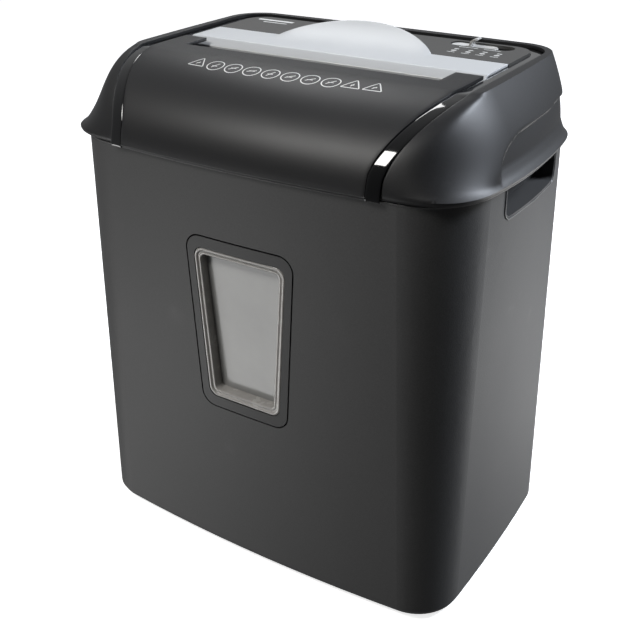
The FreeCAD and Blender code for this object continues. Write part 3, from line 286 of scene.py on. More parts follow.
def moulded(name, dark, light, roughness, grain=0.0009, relief=0.00005, specular=0.5):
    """Moulded plastic: a fine grain in height, colour and gloss, slow flow marks and a few rubbed spots."""
    finish = Finish(name, Specular_IOR_Level=specular)
    place = finish.place()
    fine = finish.noise(1 / grain, 2.5, place)
    flow = finish.noise(7.0, 3.0, place)
    rubbed = finish.noise(34.0, 5.0, place).clamp(0.64, 0.78)
    tone = fine * 0.65 + flow * 0.35
    gloss = roughness + (fine - 0.5) * 0.14 + (flow - 0.5) * 0.08 - rubbed * 0.05
    return finish.feed(
        Base_Color=finish.mix(tone, dark, light),
        Roughness=gloss,
        Normal=finish.bump(fine, relief, 0.6),
    )


def repaint(finish, *nodes):
    """Gives the CAD nodes a finish in place of the plain one they come with."""
    for name in nodes:
        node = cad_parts[name]
        node.data.materials.clear()
        node.data.materials.append(finish.material)


bin_plastic = moulded(
    "bin_plastic", (0.020, 0.020, 0.0202, 1), (0.070, 0.070, 0.0705, 1),
    0.56, 0.0010, 0.00012,
)
repaint(bin_plastic, "bin_shell", "bin_pocket_left", "bin_pocket_right")


def arc_of(half, rise):
    """The radius of an arc that rises by rise over a chord of twice half."""
    return (half * half + rise * rise) / (2 * rise)


def bowed_outline(half_width, half_depth, bow_front, bow_side, corner, count=64):
    """A quarter of a rounded rectangle whose sides are arcs, from the front's middle to the side's middle.

    Each corner arc is tangent to both side arcs; the quarter runs front arc, corner arc, side arc.
    """
    front_radius = arc_of(half_width, bow_front)
    side_radius = arc_of(half_depth, bow_side)
    front_centre = np.array([0, front_radius - half_depth])
    side_centre = np.array([half_width - side_radius, 0])
    line = side_centre - front_centre
    apart = np.hypot(*line)
    reach_front = front_radius - corner
    reach_side = side_radius - corner
    along = (reach_front ** 2 - reach_side ** 2 + apart ** 2) / (2 * apart)
    aside = np.sqrt(reach_front ** 2 - along ** 2)
    line = line / apart
    square = np.array([-line[1], line[0]])
    middles = [front_centre + line * along + square * aside * sign for sign in (-1, 1)]
    middle = max(middles, key=lambda point: point[0] - point[1])

    def arc(about, radius, start, end):
        turn = np.linspace(start, end, count, endpoint=False)[:, None]
        return about + radius * np.hstack([np.cos(turn), np.sin(turn)])

    to_front = np.arctan2(*(middle - front_centre)[::-1])
    to_side = np.arctan2(*(middle - side_centre)[::-1])
    quarter = [
        arc(front_centre, front_radius, -np.pi / 2, to_front),
        arc(middle, corner, to_front, to_side),
        arc(side_centre, side_radius, to_side, 0),
        np.array([[half_width, 0]]),
    ]
    return np.vstack(quarter)


def whole_outline(quarter):
    """The quarter mirrored to the back and then to the left, as one closed loop without repeats."""
    half = np.vstack([quarter, quarter[-2::-1] * [1, -1]])
    return np.vstack([half[:-1], half[:0:-1] * [-1, 1]])


def swept_tube(name, path, normals, radius, segments=10):
    """A round bead along a closed path: centre + radius * (cos a * normal + sin a * up), a from 0 to 2 pi."""
    turn = np.linspace(0, 2 * np.pi, segments, endpoint=False)
    out = normals[:, None, :] * np.cos(turn)[None, :, None] * radius
    rise = np.array([0, 0, 1]) * np.sin(turn)[None, :, None] * radius
    points = path[:, None, :] + out + rise
    return mesh_piece(name, points, grid_faces(len(path), segments, True, True, flip=True), 80)


MM = 0.001
BIN_FOOT, BIN_RISE, BIN_HALF = 4, 342, 175
bin_top = bowed_outline(174.55, 112.55, 12.5, 16, 51.5)
bead_path = whole_outline(bin_top)
step = np.roll(bead_path, -1, 0) - np.roll(bead_path, 1, 0)
outward = np.stack([step[:, 1], -step[:, 0]], 1) / np.hypot(*step.T)[:, None]
bead_points = np.column_stack([bead_path, np.full(len(bead_path), 345.35)]) * MM
bead_normals = np.column_stack([outward, np.zeros(len(outward))])
bead = swept_tube("bin_bead", bead_points, bead_normals, 0.95 * MM)
# The beads are the bin's own plastic, made lighter in colour as a painted highlight along the top edge and the
# pocket edges, and glossier.
edge_plastic = moulded("edge_plastic", (0.05, 0.05, 0.05, 1), (0.09, 0.09, 0.09, 1), 0.3, 0.0008, 0.00002)
put(bead, edge_plastic, "bin", "bin_plastic")


def pocket_bead(name, sign, radius=0.75):
    """A thin bead along the front end, the floor and the back end of a finger pocket, tapered to nothing at
    its ends. The side wall is x = 175 - (4 + 12 s) * (y / (117 - 4 s)) ^ 2, with s the share of its height."""
    front_end, back_end, floor, top, corner = -44, 50, 322, 344, 8
    turn = np.linspace(0, np.pi / 2, 9)
    front_y = front_end + corner - corner * np.cos(turn)
    back_y = back_end - corner + corner * np.sin(turn)
    front = np.column_stack([front_y, floor + corner - corner * np.sin(turn)])
    back = np.column_stack([back_y, floor + corner - corner * np.cos(turn)])
    start = [[front_end, top + 0.5], [front_end, top]]
    end = [[back_end, top], [back_end, top + 0.5]]
    line = np.vstack([start, front, [[(front_end + back_end) / 2, floor]], back, end])
    share = (line[:, 1] - BIN_FOOT) / BIN_RISE
    x = BIN_HALF - (4 + 12 * share) * (line[:, 0] / (117 - 4 * share)) ** 2
    path = np.column_stack([sign * x, line])
    along = np.gradient(line, axis=0)
    across = np.column_stack([np.zeros(len(line)), -along[:, 1], along[:, 0]]) / np.hypot(*along.T)[:, None]
    segments = 10
    around = np.linspace(0, 2 * np.pi, segments, endpoint=False)[None, :, None]
    thick = np.full(len(line), radius)
    thick[[0, -1]] = 0
    circle = np.cos(around) * [sign, 0, 0] + np.sin(around) * across[:, None]
    points = path[:, None] + thick[:, None, None] * circle
    return mesh_piece(name, points * MM, grid_faces(len(path), segments, False, True, flip=sign > 0), 80)


# The pocket beads take the same lighter plastic, a painted highlight along each pocket's edge.
put(pocket_bead("pocket_bead_left", -1), edge_plastic, "bin", "bin_plastic")
put(pocket_bead("pocket_bead_right", 1), edge_plastic, "bin", "bin_plastic")


# ---- window
# A keystone window in the front of the bin: a matt frame flush with the wall, a rim of light grey
# plastic with two ridges and a groove between them, and a smoked pane set back behind it.

def keystone(inset_side, inset_end, radius, count=14):
    """The window's outline inset by so much: a trapezium, wider at its top, whose corners are arcs."""
    low, high = 145 + inset_end, 292 - inset_end
    half_low, half_high = 41 - inset_side, 49 - inset_side
    corners = np.array([[-half_low, low], [half_low, low], [half_high, high], [-half_high, high]], float)
    loop = []
    for index in range(4):
        corner = corners[index]
        before = corners[index - 1] - corner
        after = corners[(index + 1) % 4] - corner
        before /= np.hypot(*before)
        after /= np.hypot(*after)
        half_angle = np.arccos(before @ after) / 2
        reach = radius / np.tan(half_angle)
        towards = (before + after) / np.hypot(*(before + after))
        middle = corner + towards * radius / np.sin(half_angle)
        start, end = corner + before * reach, corner + after * reach
        turn = np.linspace(0, 1, count)[:, None]
        first = np.arctan2(*(start - middle)[::-1])
        last = np.arctan2(*(end - middle)[::-1])
        last += 2 * np.pi * np.round((first - last) / (2 * np.pi))
        angle = first + (last - first) * turn
        loop.append(middle + radius * np.hstack([np.cos(angle), np.sin(angle)]))
    return np.vstack(loop)


def front_face(x, z):
    """y of the bin's front wall at a place: the arc at its foot shading into the arc at its top."""
    share = np.clip((z - BIN_FOOT) / BIN_RISE, 0, 1)
    half_depth = 117 - 4 * share
    bow = 9.5 + 3 * share
    radius = arc_of(BIN_HALF, bow)
    return -half_depth + radius - np.sqrt(radius ** 2 - x ** 2)


def framed(name, steps):
    """A moulding round the window. Each step is its inset, its corner radius and its depth behind the wall."""
    rows = []
    for inset, radius, depth in steps:
        loop = keystone(7.65 + inset, 10.15 + inset, radius)
        rows.append(np.column_stack([loop[:, 0], front_face(loop[:, 0], loop[:, 1]) + depth, loop[:, 1]]))
    points = np.stack(rows) * MM
    return mesh_piece(name, points, grid_faces(*points.shape[:2], True, True, flip=True), 50)


rim = framed("window_rim_moulding", [
    (0, 8, 11.5), (0, 8, 1.2), (0.15, 7.9, 0.5), (0.6, 7.6, 0.1), (1.4, 7.1, 0.0),
    (2.3, 6.5, 0.2), (2.7, 6.2, 0.8), (3.1, 6, 1.3), (3.6, 5.7, 1.3), (4.1, 5.4, 0.9),
    (4.9, 5, 0.8), (5.5, 4.7, 1.2), (5.9, 4.4, 2.4), (6.2, 4.2, 6.8), (6.3, 4.1, 11.5),
])
rim_plastic = Finish("rim_plastic", IOR=1.5, Coat_Roughness=0.06)
clouding = rim_plastic.noise(90.0, 3.0)
rim_plastic.feed(
    Base_Color=rim_plastic.mix(clouding, (0.27, 0.26, 0.245, 1), (0.40, 0.385, 0.365, 1)),
    Roughness=0.2 + clouding * 0.12,
    Coat_Weight=0.5 + clouding * 0.3,
    Normal=rim_plastic.bump(rim_plastic.noise(1500.0), 0.00001),
)
put(rim, rim_plastic, "bin", "silver_plastic", "window_rim")
surround_plastic = moulded(
    "surround_plastic", (0.006, 0.006, 0.006, 1), (0.02, 0.02, 0.02, 1),
    0.5, 0.0008, 0.00005,
)
repaint(surround_plastic, "window_surround")

pane_plastic = Finish("smoked_pane", IOR=1.49)
haze = pane_plastic.noise(22.0, 4.0)
scratches = pane_plastic.noise(420.0, 2.0)
pane_plastic.feed(
    Base_Color=pane_plastic.mix(haze, (0.25, 0.25, 0.243, 1), (0.36, 0.36, 0.35, 1)),
    Roughness=0.12 + haze * 0.1 + scratches * 0.04,
    Normal=pane_plastic.bump(haze, 0.0004, 0.2),
)
repaint(pane_plastic, "window_pane")

feet_rubber = moulded("foot_rubber", (0.008, 0.008, 0.008, 1), (0.02, 0.02, 0.02, 1), 0.8, 0.0006, 0.0001, 0.3)
repaint(feet_rubber, "bin_feet")


# ---- front cover of the head
# The front cover is a satin black moulding. Its face is a quarter of an ellipse from the seam up to the
# flat top, and it rolls down into the paper slot, with an ear at each end of the slot.

HEAD_FRONT, HEAD_CREST, HEAD_BASE, HEAD_TOP = -117.0, -36.5, 345.0, 404.5
COVER_BOTTOM, SLOT_FRONT, COVER_HALF = 346.8, -24.0, 131
FRONT_RADIUS = arc_of(179, 12.5)


def face_bow(x):
    """How much further back the curved front is at x than in the middle: the rise of the long plan arc."""
    return FRONT_RADIUS - np.sqrt(FRONT_RADIUS ** 2 - x ** 2)


def face_profile():
    """The front from the side, as (y, z): a rounded lower edge, the quarter ellipse, and the flat top back to
    the slot."""
    turn = np.linspace(0, np.pi / 2, 5)
    edge = 1.5
    lip = np.column_stack([HEAD_FRONT + edge - edge * np.sin(turn), COVER_BOTTOM + edge - edge * np.cos(turn)])
    start = np.arcsin((COVER_BOTTOM + 1.6 - HEAD_BASE) / (HEAD_TOP - HEAD_BASE))
    angle = np.linspace(start, np.pi / 2, 56)
    curve = np.column_stack([
        HEAD_CREST + (HEAD_FRONT - HEAD_CREST) * np.cos(angle),
        HEAD_BASE + (HEAD_TOP - HEAD_BASE) * np.sin(angle),
    ])
    flat = np.linspace(HEAD_CREST, SLOT_FRONT, 10)[1:]
    return np.vstack([lip, curve, np.column_stack([flat, np.full(len(flat), HEAD_TOP)])])


def cover_edge(y):
    """Half the cover's width at a place, from above: straight at the lip, then a cubic that splays outward."""
    depth = HEAD_CREST - HEAD_FRONT
    low_half = 104
    t = np.linspace(0, 1, 200)
    weights = np.stack([(1 - t) ** 3, 3 * t * (1 - t) ** 2, 3 * t * t * (1 - t), t ** 3])
    across = np.array([low_half, low_half + 0.35 * (COVER_HALF - low_half), COVER_HALF, COVER_HALF]) @ weights
    along = (HEAD_FRONT + depth * np.array([0.1, 0.32, 0.62, 1.15])) @ weights
    return np.interp(y, along, across)


def edge_on_face(y, offset):
    """x of the cover's edge plus an offset, where the curved front passes y in its middle, by iteration."""
    x = np.full(np.shape(y), 120.0)
    for _ in range(6):
        bow = face_bow(x) * np.clip((HEAD_CREST - y) / 20, 0, 1)
        x = cover_edge(y + bow) + offset
    return x


def plan_y(y, x):
    """y on the bowed front, where y is the place in the middle; the bow fades out on the flat top."""
    fade = np.clip((HEAD_CREST - y) / 20, 0, 1)
    return y + face_bow(x) * fade * fade * (3 - 2 * fade)


def finished(piece, thickness, bevel=0.0004, segments=2):
    """A wall behind the surface, and its edges rounded as they leave the mould."""
    wall = piece.modifiers.new("wall", "SOLIDIFY")
    wall.thickness = thickness
    wall.offset = -1
    rounding = piece.modifiers.new("rounding", "BEVEL")
    rounding.width = bevel
    rounding.segments = segments
    rounding.limit_method = "ANGLE"
    rounding.angle_limit = np.radians(50)
    return piece


def merged(points, faces):
    """The same surface with coinciding points made one, and the faces this closes up dropped or cut to three."""
    keys = np.round(points.reshape(-1, 3) * 1e6).astype(np.int64)
    _, first, index = np.unique(keys, axis=0, return_index=True, return_inverse=True)
    corners = index.reshape(-1)[faces]
    kept = corners != np.roll(corners, 1, axis=1)
    sides = [face[keep] for face, keep in zip(corners, kept)]
    return points.reshape(-1, 3)[first], [side.tolist() for side in sides if len(side) > 2]


def stacked(patches, flip=False):
    """Several grids of points as one array of points and one of faces."""
    points, faces, start = [], [], 0
    for grid in patches:
        points.append(grid.reshape(-1, 3))
        faces.append(grid_faces(grid.shape[0], grid.shape[1], start=start, flip=flip))
        start += grid.shape[0] * grid.shape[1]
    return np.vstack(points), np.vstack(faces)


def joined_points(patches):
    """Several grids of points as one list of points and one list of faces, their shared borders merged."""
    return merged(*stacked(patches))


def make_front_cover():
    """x = s * edge(y), with s from -1 to 1; behind the slot's front edge the two ears keep only |x| > 110."""
    ear_back, slot_half = 2.6, 110.0
    middle = np.linspace(-1, 1, 61)
    ears = np.linspace(0, 1, 7)
    profile = face_profile()
    edge = edge_on_face(profile[:, 0], 0.0)
    narrow = np.minimum(slot_half, edge * slot_half / COVER_HALF)[:, None]
    wide = edge[:, None]
    centre_x = narrow * middle
    right_x = narrow + (wide - narrow) * ears[1:]
    x = np.hstack([-right_x[:, ::-1], centre_x, right_x])
    y = plan_y(profile[:, :1], x)
    z = np.broadcast_to(profile[:, 1:], x.shape)
    face = np.stack([x, y, z], -1)
    turn = np.linspace(0, np.pi / 2, 8)
    round_over = 2.4
    roll_y = SLOT_FRONT + round_over * np.sin(turn)
    roll_z = HEAD_TOP - round_over + round_over * np.cos(turn)
    roll_y = np.concatenate([roll_y, np.full(4, SLOT_FRONT + round_over)])
    roll_z = np.concatenate([roll_z, HEAD_TOP - round_over - np.linspace(1.4, 7.2, 4)])
    turned = np.stack(np.broadcast_arrays(centre_x[-1][None, :], roll_y[:, None], roll_z[:, None]), -1)
    back = np.linspace(SLOT_FRONT, ear_back, 12)[:, None]
    ear_x = (slot_half + (COVER_HALF - slot_half) * ears)[None, :]
    ear = np.stack(np.broadcast_arrays(ear_x, back, HEAD_TOP), -1)
    other_ear = (ear * [-1, 1, 1])[:, ::-1]
    points, faces = joined_points([patch * MM for patch in (face, turned, ear, other_ear)])
    return mesh_piece("front_cover_skin", points, faces, 35)


satin_black = moulded(
    "satin_black", (0.0035, 0.0035, 0.0040, 1), (0.013, 0.013, 0.0142, 1),
    0.46, 0.0009, 0.00005,
)
cover = finished(make_front_cover(), 2.6 * MM)
put(cover, satin_black, "head", "satin_black", "front_cover")


# ---- gloss trim
# A piano-black moulding runs up each side of the front cover as a broad strip, and on round the
# control panel as a sunk channel between the panel and the rim of the housing.

def ring_path(offset, back, corner, front_count=60, side_count=30, corner_count=16, back_count=30):
    """The right half of a joint round the covers, from above: the splayed edge, the side, the rear corner arc
    and half the back."""
    angle = np.linspace(np.arcsin(1.7 / (HEAD_TOP - HEAD_BASE)), np.pi / 2, front_count)
    profile_y = HEAD_CREST + (HEAD_FRONT - HEAD_CREST) * np.cos(angle)
    front_x = edge_on_face(profile_y, offset)
    front_z = HEAD_BASE + (HEAD_TOP - HEAD_BASE) * np.sin(angle)
    front = np.column_stack([front_x, plan_y(profile_y, front_x), front_z])
    half = COVER_HALF + offset
    side_y = np.linspace(HEAD_CREST, back - corner, side_count)[1:]
    side_x = cover_edge(side_y) + offset
    side = np.column_stack([side_x, side_y])
    turn = np.linspace(0, np.pi / 2, corner_count)[1:]
    bend = np.array([half - corner, back - corner]) + corner * np.column_stack([np.cos(turn), np.sin(turn)])
    rear_x = np.linspace(half - corner, 0, back_count)[1:]
    rear = np.column_stack([rear_x, np.full(len(rear_x), back)])
    level = np.vstack([side, bend, rear])
    return np.vstack([front, np.column_stack([level, np.full(len(level), HEAD_TOP)])])


def make_trim():
    """Between an inner and an outer joint line: point = inner + c * (outer - inner), sunk below the covers by
    a depth that grows from the face of the front to the channel round the panel."""
    inner = ring_path(0.4, 103.4, 18.4)
    outer = ring_path(10.5, 109.0, 23.0)
    across = np.array([0, 0.06, 0.16, 0.3, 0.5, 0.7, 0.84, 0.94, 1.0])
    lift = np.array([0.0, 0.25, 0.35, 0.4, 0.4, 0.4, 0.35, 0.25, 0.0]) - 0.4
    right = inner[:, None, :] + (outer - inner)[:, None, :] * across[None, :, None]
    sink = np.interp(inner[:, 1], [-117, -75, -45, -25], [0.3, 0.4, 1.2, 2.5])
    right[:, :, 2] -= sink[:, None] - lift[None, :]
    left = (right * [-1, 1, 1])[::-1][1:, ::-1]
    path = np.vstack([right, left[:, ::-1]])
    return mesh_piece("gloss_trim_skin", path * MM, grid_faces(path.shape[0], path.shape[1]), 50)


gloss_black = Finish("gloss_black", Specular_IOR_Level=0.6, IOR=1.5, Coat_Roughness=0.02)
ripple = gloss_black.noise(16.0, 2.0)
swirl = gloss_black.noise(900.0, 2.0)
gloss_black.feed(
    Base_Color=gloss_black.mix(ripple, (0.0008, 0.0008, 0.0010, 1), (0.002, 0.002, 0.0024, 1)),
    Roughness=0.05 + swirl * 0.04,
    Coat_Weight=0.6 + ripple * 0.4,
    Normal=gloss_black.bump(ripple, 0.0004, 0.15),
)


# ---- housing of the head
# The housing is the shoulder round the covers, one satin black moulding. It curls under at the seam to a
# rounded lip, and each side is scooped a little below a crest line, over the finger pocket.

LIP_MIDDLE = 350.5


def head_half(share):
    """The right half of the housing's outline at a share of its height above the lip, front to back.

    It draws in by 3 * (1 - e ^ (-share / 0.03)) + 26.5 * share ^ 1.6. Its front corners grow rounder as it
    rises and its rear ones tighter.
    """
    drawn = 3 * (1 - np.exp(-share / 0.03)) + 26.5 * share ** 1.6
    sizes = (178.9 - drawn, 119 - 2 * share, 12.5 - 9.5 * share, 16 - 13 * share)
    front = bowed_outline(*sizes, 54 + 38 * (1 - (1 - share) ** 5))
    back = bowed_outline(*sizes, 54 - 24 * share)
    return np.vstack([front, back[-2::-1] * [1, -1]]) + [0, 2 * share - 2]


def evenly(line, count):
    """A flat line drawn again with so many points at even steps along it."""
    length = np.concatenate([[0], np.cumsum(np.hypot(*np.diff(line, axis=0).T))])
    even = np.linspace(0, length[-1], count)
    return np.column_stack([np.interp(even, length, line[:, 0]), np.interp(even, length, line[:, 1])])


def head_level(z, tuck, count):
    """Half of one level of the housing, from the strip's edge on the front round to the middle of the back.

    In polar form about a point behind the front, 1 / r = (1 / r_outline ^ p + 1 / r_front ^ p) ^ (1 / p),
    which rounds the crease between the shoulder and the curved front.
    """
    share = np.clip((z - LIP_MIDDLE) / (HEAD_TOP - LIP_MIDDLE), 0, 1)
    about = 20.0
    rounding = 34.0
    half = head_half(share) - [0, about]
    angle = np.arctan2(half[:, 1], half[:, 0])
    reach = np.hypot(*half.T)
    turn = np.linspace(-np.pi / 2 + 0.15, np.pi / 2, 2600)
    outline = np.interp(turn, angle, reach) - tuck
    rise = np.clip((z - HEAD_BASE) / (HEAD_TOP - HEAD_BASE), 0, 1)
    front_y = HEAD_CREST + (HEAD_FRONT - HEAD_CREST) * np.sqrt(1 - rise ** 2) + tuck * 0.9
    ahead = np.maximum(-np.sin(turn), 0)
    front = 1e-6 + ahead / (about - front_y)
    for _ in range(6):
        x = np.minimum(np.cos(turn) / front, 190)
        front = 1e-6 + ahead / np.maximum(about - plan_y(front_y, x), 20)
    radius = (outline ** -rounding + front ** rounding) ** (-1 / rounding)
    loop = np.column_stack([radius * np.cos(turn), radius * np.sin(turn) + about])
    start_x = edge_on_face(np.array(front_y), 10.9)
    loop = loop[np.argmax(loop[:, 0] >= start_x):]
    loop[0, 0] = start_x
    return np.column_stack([evenly(loop, count), np.full(count, z)])


def scoop(points, depth=3.6, softness=1.6):
    """Moves the side in by a depth below a crest line, easing over a softness on each side of the line.

    The line climbs from the lip in front of the finger pocket and then runs back, as (y, z).
    """
    climb = [(-58, 340), (-57, 350), (-54, 356), (-49, 363)]
    turning = [(-42, 368)]
    run = [(-35, 371), (-19, 374.5), (10, 375), (45, 375.5), (75, 377), (130, 379)]
    edge_line = np.array(climb + turning, float)
    crest_line = np.array(turning + run, float)
    line = np.array(climb + turning + run, float)
    y, z = points[..., 1], points[..., 2]
    start = line[:-1]
    along = line[1:] - start
    place = np.stack([y, z], -1)[..., None, :] - start
    share = np.clip((place * along).sum(-1) / (along ** 2).sum(-1), 0, 1)
    nearest = np.linalg.norm(place - share[..., None] * along, axis=-1).min(-1)
    inside = (z < np.interp(y, *crest_line.T)) & (y > np.interp(z, *edge_line.T[::-1]))
    signed = np.where(inside, nearest, -nearest)
    ease = np.clip(0.5 + signed / (2 * softness), 0, 1)
    ease = ease * ease * (3 - 2 * ease)
    before_rear = np.clip((112 - y) / 30, 0, 1)
    above_lip = np.clip((z - LIP_MIDDLE - 0.5) / 9, 0, 1)
    on_side = np.clip((points[..., 0] - 110) / 30, 0, 1)
    moved = points.copy()
    moved[..., 0] -= depth * ease * before_rear * above_lip * on_side
    return moved


def make_housing():
    """Levels stacked from under the lip, round it, up the shoulder and across the rim's flat top."""
    count = 230
    under = [(348.2, 5.6), (346.7, 4.9)]
    lip_round = 4
    turn = np.linspace(0, np.pi / 2, 7)
    lip = [(LIP_MIDDLE - lip_round * np.cos(a), lip_round * (1 - np.sin(a))) for a in turn]
    height = HEAD_TOP - HEAD_BASE
    angle = np.linspace(np.arcsin((LIP_MIDDLE - HEAD_BASE) / height), np.pi / 2, 48)[1:]
    shoulder = [(HEAD_BASE + height * np.sin(a), 0.0) for a in angle]
    shoulder[-1] = (HEAD_TOP - 0.001, 0.0)
    rows = [scoop(head_level(z, tuck, count)) for z, tuck in under + lip + shoulder]
    top = rows[-1].copy()
    top[:, 2] = HEAD_TOP
    inner = ring_path(10.9, 109.4, 23.4, 2, 90, 40, 90)[1:]
    edge = np.column_stack([evenly(inner[:, :2], count), np.full(count, HEAD_TOP)])
    for share in (0.12, 0.35, 0.7, 1.0):
        rows.append(top + (edge - top) * share)
    right = np.stack(rows)
    left = (right * [-1, 1, 1])[:, ::-1][:, 1:]
    points = np.concatenate([right, left], 1)
    return mesh_piece("housing_skin", *merged(points * MM, grid_faces(*points.shape[:2])), 45)


housing = finished(make_housing(), 2.6 * MM)
put(housing, satin_black, "head", "satin_black", "head_housing")
trim = finished(make_trim(), 1.6 * MM, 0.0002)
put(trim, gloss_black, "head", "gloss_black", "gloss_trim")


# ---- control panel and entry plate
# Behind the slot lies a satin silver plate with a bright front chamfer. Its rear edge swells up in the
# middle to guide the paper. The panel round it is warm grey with a fine grain.

deck_plastic = moulded("deck_plastic", (0.035, 0.034, 0.032, 1), (0.075, 0.073, 0.069, 1), 0.5, 0.0008, 0.00005)
repaint(deck_plastic, "control_deck")


def make_entry_plate():
    """z = chamfer, then flat, then top + 12.6 * (1 - (x / 69) ^ 2) ^ 0.8 * v ^ 2.2, where v runs from the start
    of the rise to the rear edge, which is an arc in plan."""
    half, chord, hump_half, hump_back = 130.5, 47.0, 69.0, 75.0
    top, flat_start, rise_start = 403.5, 11.8, 26
    beside = np.linspace(hump_half, half, 20)
    across = np.unique(np.concatenate([-beside[::-1], np.linspace(-hump_half, hump_half, 91), beside]))
    radius = arc_of(hump_half, hump_back - chord)
    inside = np.abs(across) < hump_half
    rear = np.where(inside, hump_back - radius + np.sqrt(np.maximum(radius ** 2 - across ** 2, 0)), chord)
    height = np.where(inside, 12.6 * np.maximum(1 - (across / hump_half) ** 2, 0) ** 0.8, 0)
    chamfer_y = np.array([3.4, 3.4, 3.4, 3.6, 4.2, 10.2, 10.9, flat_start])
    chamfer_z = np.array([-12.0, -8.0, -5.6, -5.1, -4.6, -0.5, -0.12, 0.0]) + top
    front = np.stack(np.broadcast_arrays(across[None, :], chamfer_y[:, None], chamfer_z[:, None]), -1)
    v = np.linspace(0, 1, 46)[1:, None]
    y = flat_start + (rear - flat_start) * v
    climb = np.clip((y - rise_start) / np.maximum(rear - rise_start, 1), 0, 1)
    z = top + height * climb ** 2.2
    flat = np.stack(np.broadcast_arrays(across[None, :], y, z), -1)
    points = np.vstack([front, flat])
    return mesh_piece("entry_plate_skin", points * MM, grid_faces(*points.shape[:2]), 35)


silver = Finish("silver_paint", Metallic=0.2)
flake = silver.noise(2600.0, 1.0)
drift = silver.noise(6.0, 2.0)
silver.feed(
    Base_Color=silver.mix(flake * 0.4 + drift * 0.6, (0.47, 0.48, 0.487, 1), (0.60, 0.61, 0.615, 1)),
    Roughness=0.38 + flake * 0.12,
    Normal=silver.bump(flake, 0.00002, 0.4),
)
plate = finished(make_entry_plate(), 1.8 * MM, 0.0005)
put(plate, silver, "head", "silver_plastic", "entry_plate")

black_plastic = moulded(
    "black_plastic", (0.004, 0.004, 0.004, 1), (0.014, 0.014, 0.014, 1),
    0.45, 0.0012, 0.00005,
)
repaint(
    black_plastic, "paper_throat", "bottom_cover", "switch_tray", "gearbox_cover", "cord_gland", "bin_switch",
    "sensor_switch", "motor_end_cap", "thermal_cutout", "board_relay", "board_terminals", "slider_contact",
    "paper_lever",
)


# ---- switch and lamps
# The slide switch is a translucent oval with an upright curved tab, in a long recess, and below it
# four small light pipes come through the panel.

def make_slider():
    """An oblong plate with a rounded upper edge: outline (x, y) = (+-l + r cos a, r sin a), shrunk as it
    rises, and a tab whose section curls over as it rises."""
    start, line = 64.4, 92.0
    length, half, around = 39.0, 7.1, 72
    turn = np.linspace(0, 2 * np.pi, around, endpoint=False)
    straight = length / 2 - half
    middle = start + length / 2
    levels = [
        (0.0, 400.6), (1.0, 400.6), (1.0, 401.6), (0.985, 402.1),
        (0.93, 402.5), (0.84, 402.6), (0.8, 402.3), (0.0, 402.2),
    ]
    rows = []
    for scale, z in levels:
        radius = half * scale
        x = middle + np.sign(np.cos(turn)) * straight * min(scale * 1.2, 1) + radius * np.cos(turn)
        rows.append(np.column_stack([x, line + radius * np.sin(turn), np.full(around, z)]))
    base = mesh_piece("slider_plate", np.stack(rows) * MM, grid_faces(len(rows), around, False, True), 40)
    bend = np.linspace(0, 1, 18)
    side = np.linspace(-1, 1, 13)
    lean = middle - 3.4 + 6.6 * bend ** 2.0
    rise = 402.0 + 7.0 * np.sin(bend * np.pi / 2 * 0.98)
    width = 5.0 * np.sqrt(1 - (0.55 * bend[:, None]) ** 4)
    hollow = lean[:, None] + 0.5 * side[None, :] ** 2
    tab = np.stack(np.broadcast_arrays(hollow, line + width * side[None, :], rise[:, None]), -1)
    return base, mesh_piece("slider_tab", tab * MM, grid_faces(*tab.shape[:2], flip=True), 60)


clear_plastic = Finish(
    "clear_plastic", IOR=1.5, Subsurface_Weight=0.25, Subsurface_Radius=(0.004, 0.004, 0.004),
)
cloud = clear_plastic.noise(110.0, 3.0)
clear_plastic.feed(
    Base_Color=clear_plastic.mix(cloud, (0.42, 0.415, 0.40, 1), (0.62, 0.615, 0.60, 1)),
    Roughness=0.14 + cloud * 0.15,
    Normal=clear_plastic.bump(cloud, 0.0002, 0.3),
)
slider_plate, slider_tab = make_slider()
put(slider_plate, clear_plastic, "switch", "clear_plastic", "switch_slider")
put(finished(slider_tab, 1.5 * MM, 0.0003), clear_plastic, "switch", "clear_plastic")
repaint(clear_plastic, "lamp_lenses")


# ---- printed marks
# Guide marks are pad-printed in off-white on the front cover, a row of rings and triangles with plain
# glyphs, and short bars stand for the captions on the panel.

def on_face(x, arc):
    """A point on the curved front from x and the distance along the profile forward from its crest."""
    profile = face_profile()[::-1]
    travel = np.concatenate([[0], np.cumsum(np.hypot(*np.diff(profile, axis=0).T))])
    travel = travel - np.interp(-HEAD_CREST, -profile[:, 0], travel)
    y = np.interp(arc, travel, profile[:, 0])
    z = np.interp(arc, travel, profile[:, 1])
    ahead = 0.2
    slope_y = np.interp(arc + ahead, travel, profile[:, 0]) - y
    slope_z = np.interp(arc + ahead, travel, profile[:, 1]) - z
    long = np.hypot(slope_y, slope_z)
    lift = 0.05
    return np.stack([x, plan_y(y, x) + lift * slope_z / long, z - lift * slope_y / long], -1)


def ribbon(line, width):
    """A flat ribbon along a line in the plane of the print, as its two edges either side of the line."""
    tangent = np.gradient(line, axis=0)
    tangent /= np.hypot(*tangent.T)[:, None]
    side = np.column_stack([-tangent[:, 1], tangent[:, 0]]) * width / 2
    return np.stack([line - side, line + side])


def ring_line(radius, corners=0, count=49):
    """A circle of a radius, or a triangle with points at that radius."""
    if corners:
        points = np.array([[np.sin(a), np.cos(a)] for a in np.linspace(0, 2 * np.pi, corners + 1)]) * radius
        along = np.linspace(0.03, 0.97, 12)[:, None]
        return np.vstack([start + (end - start) * along for start, end in zip(points, points[1:])])
    turn = np.linspace(0, 2 * np.pi, count)
    return np.column_stack([np.sin(turn), np.cos(turn)]) * radius


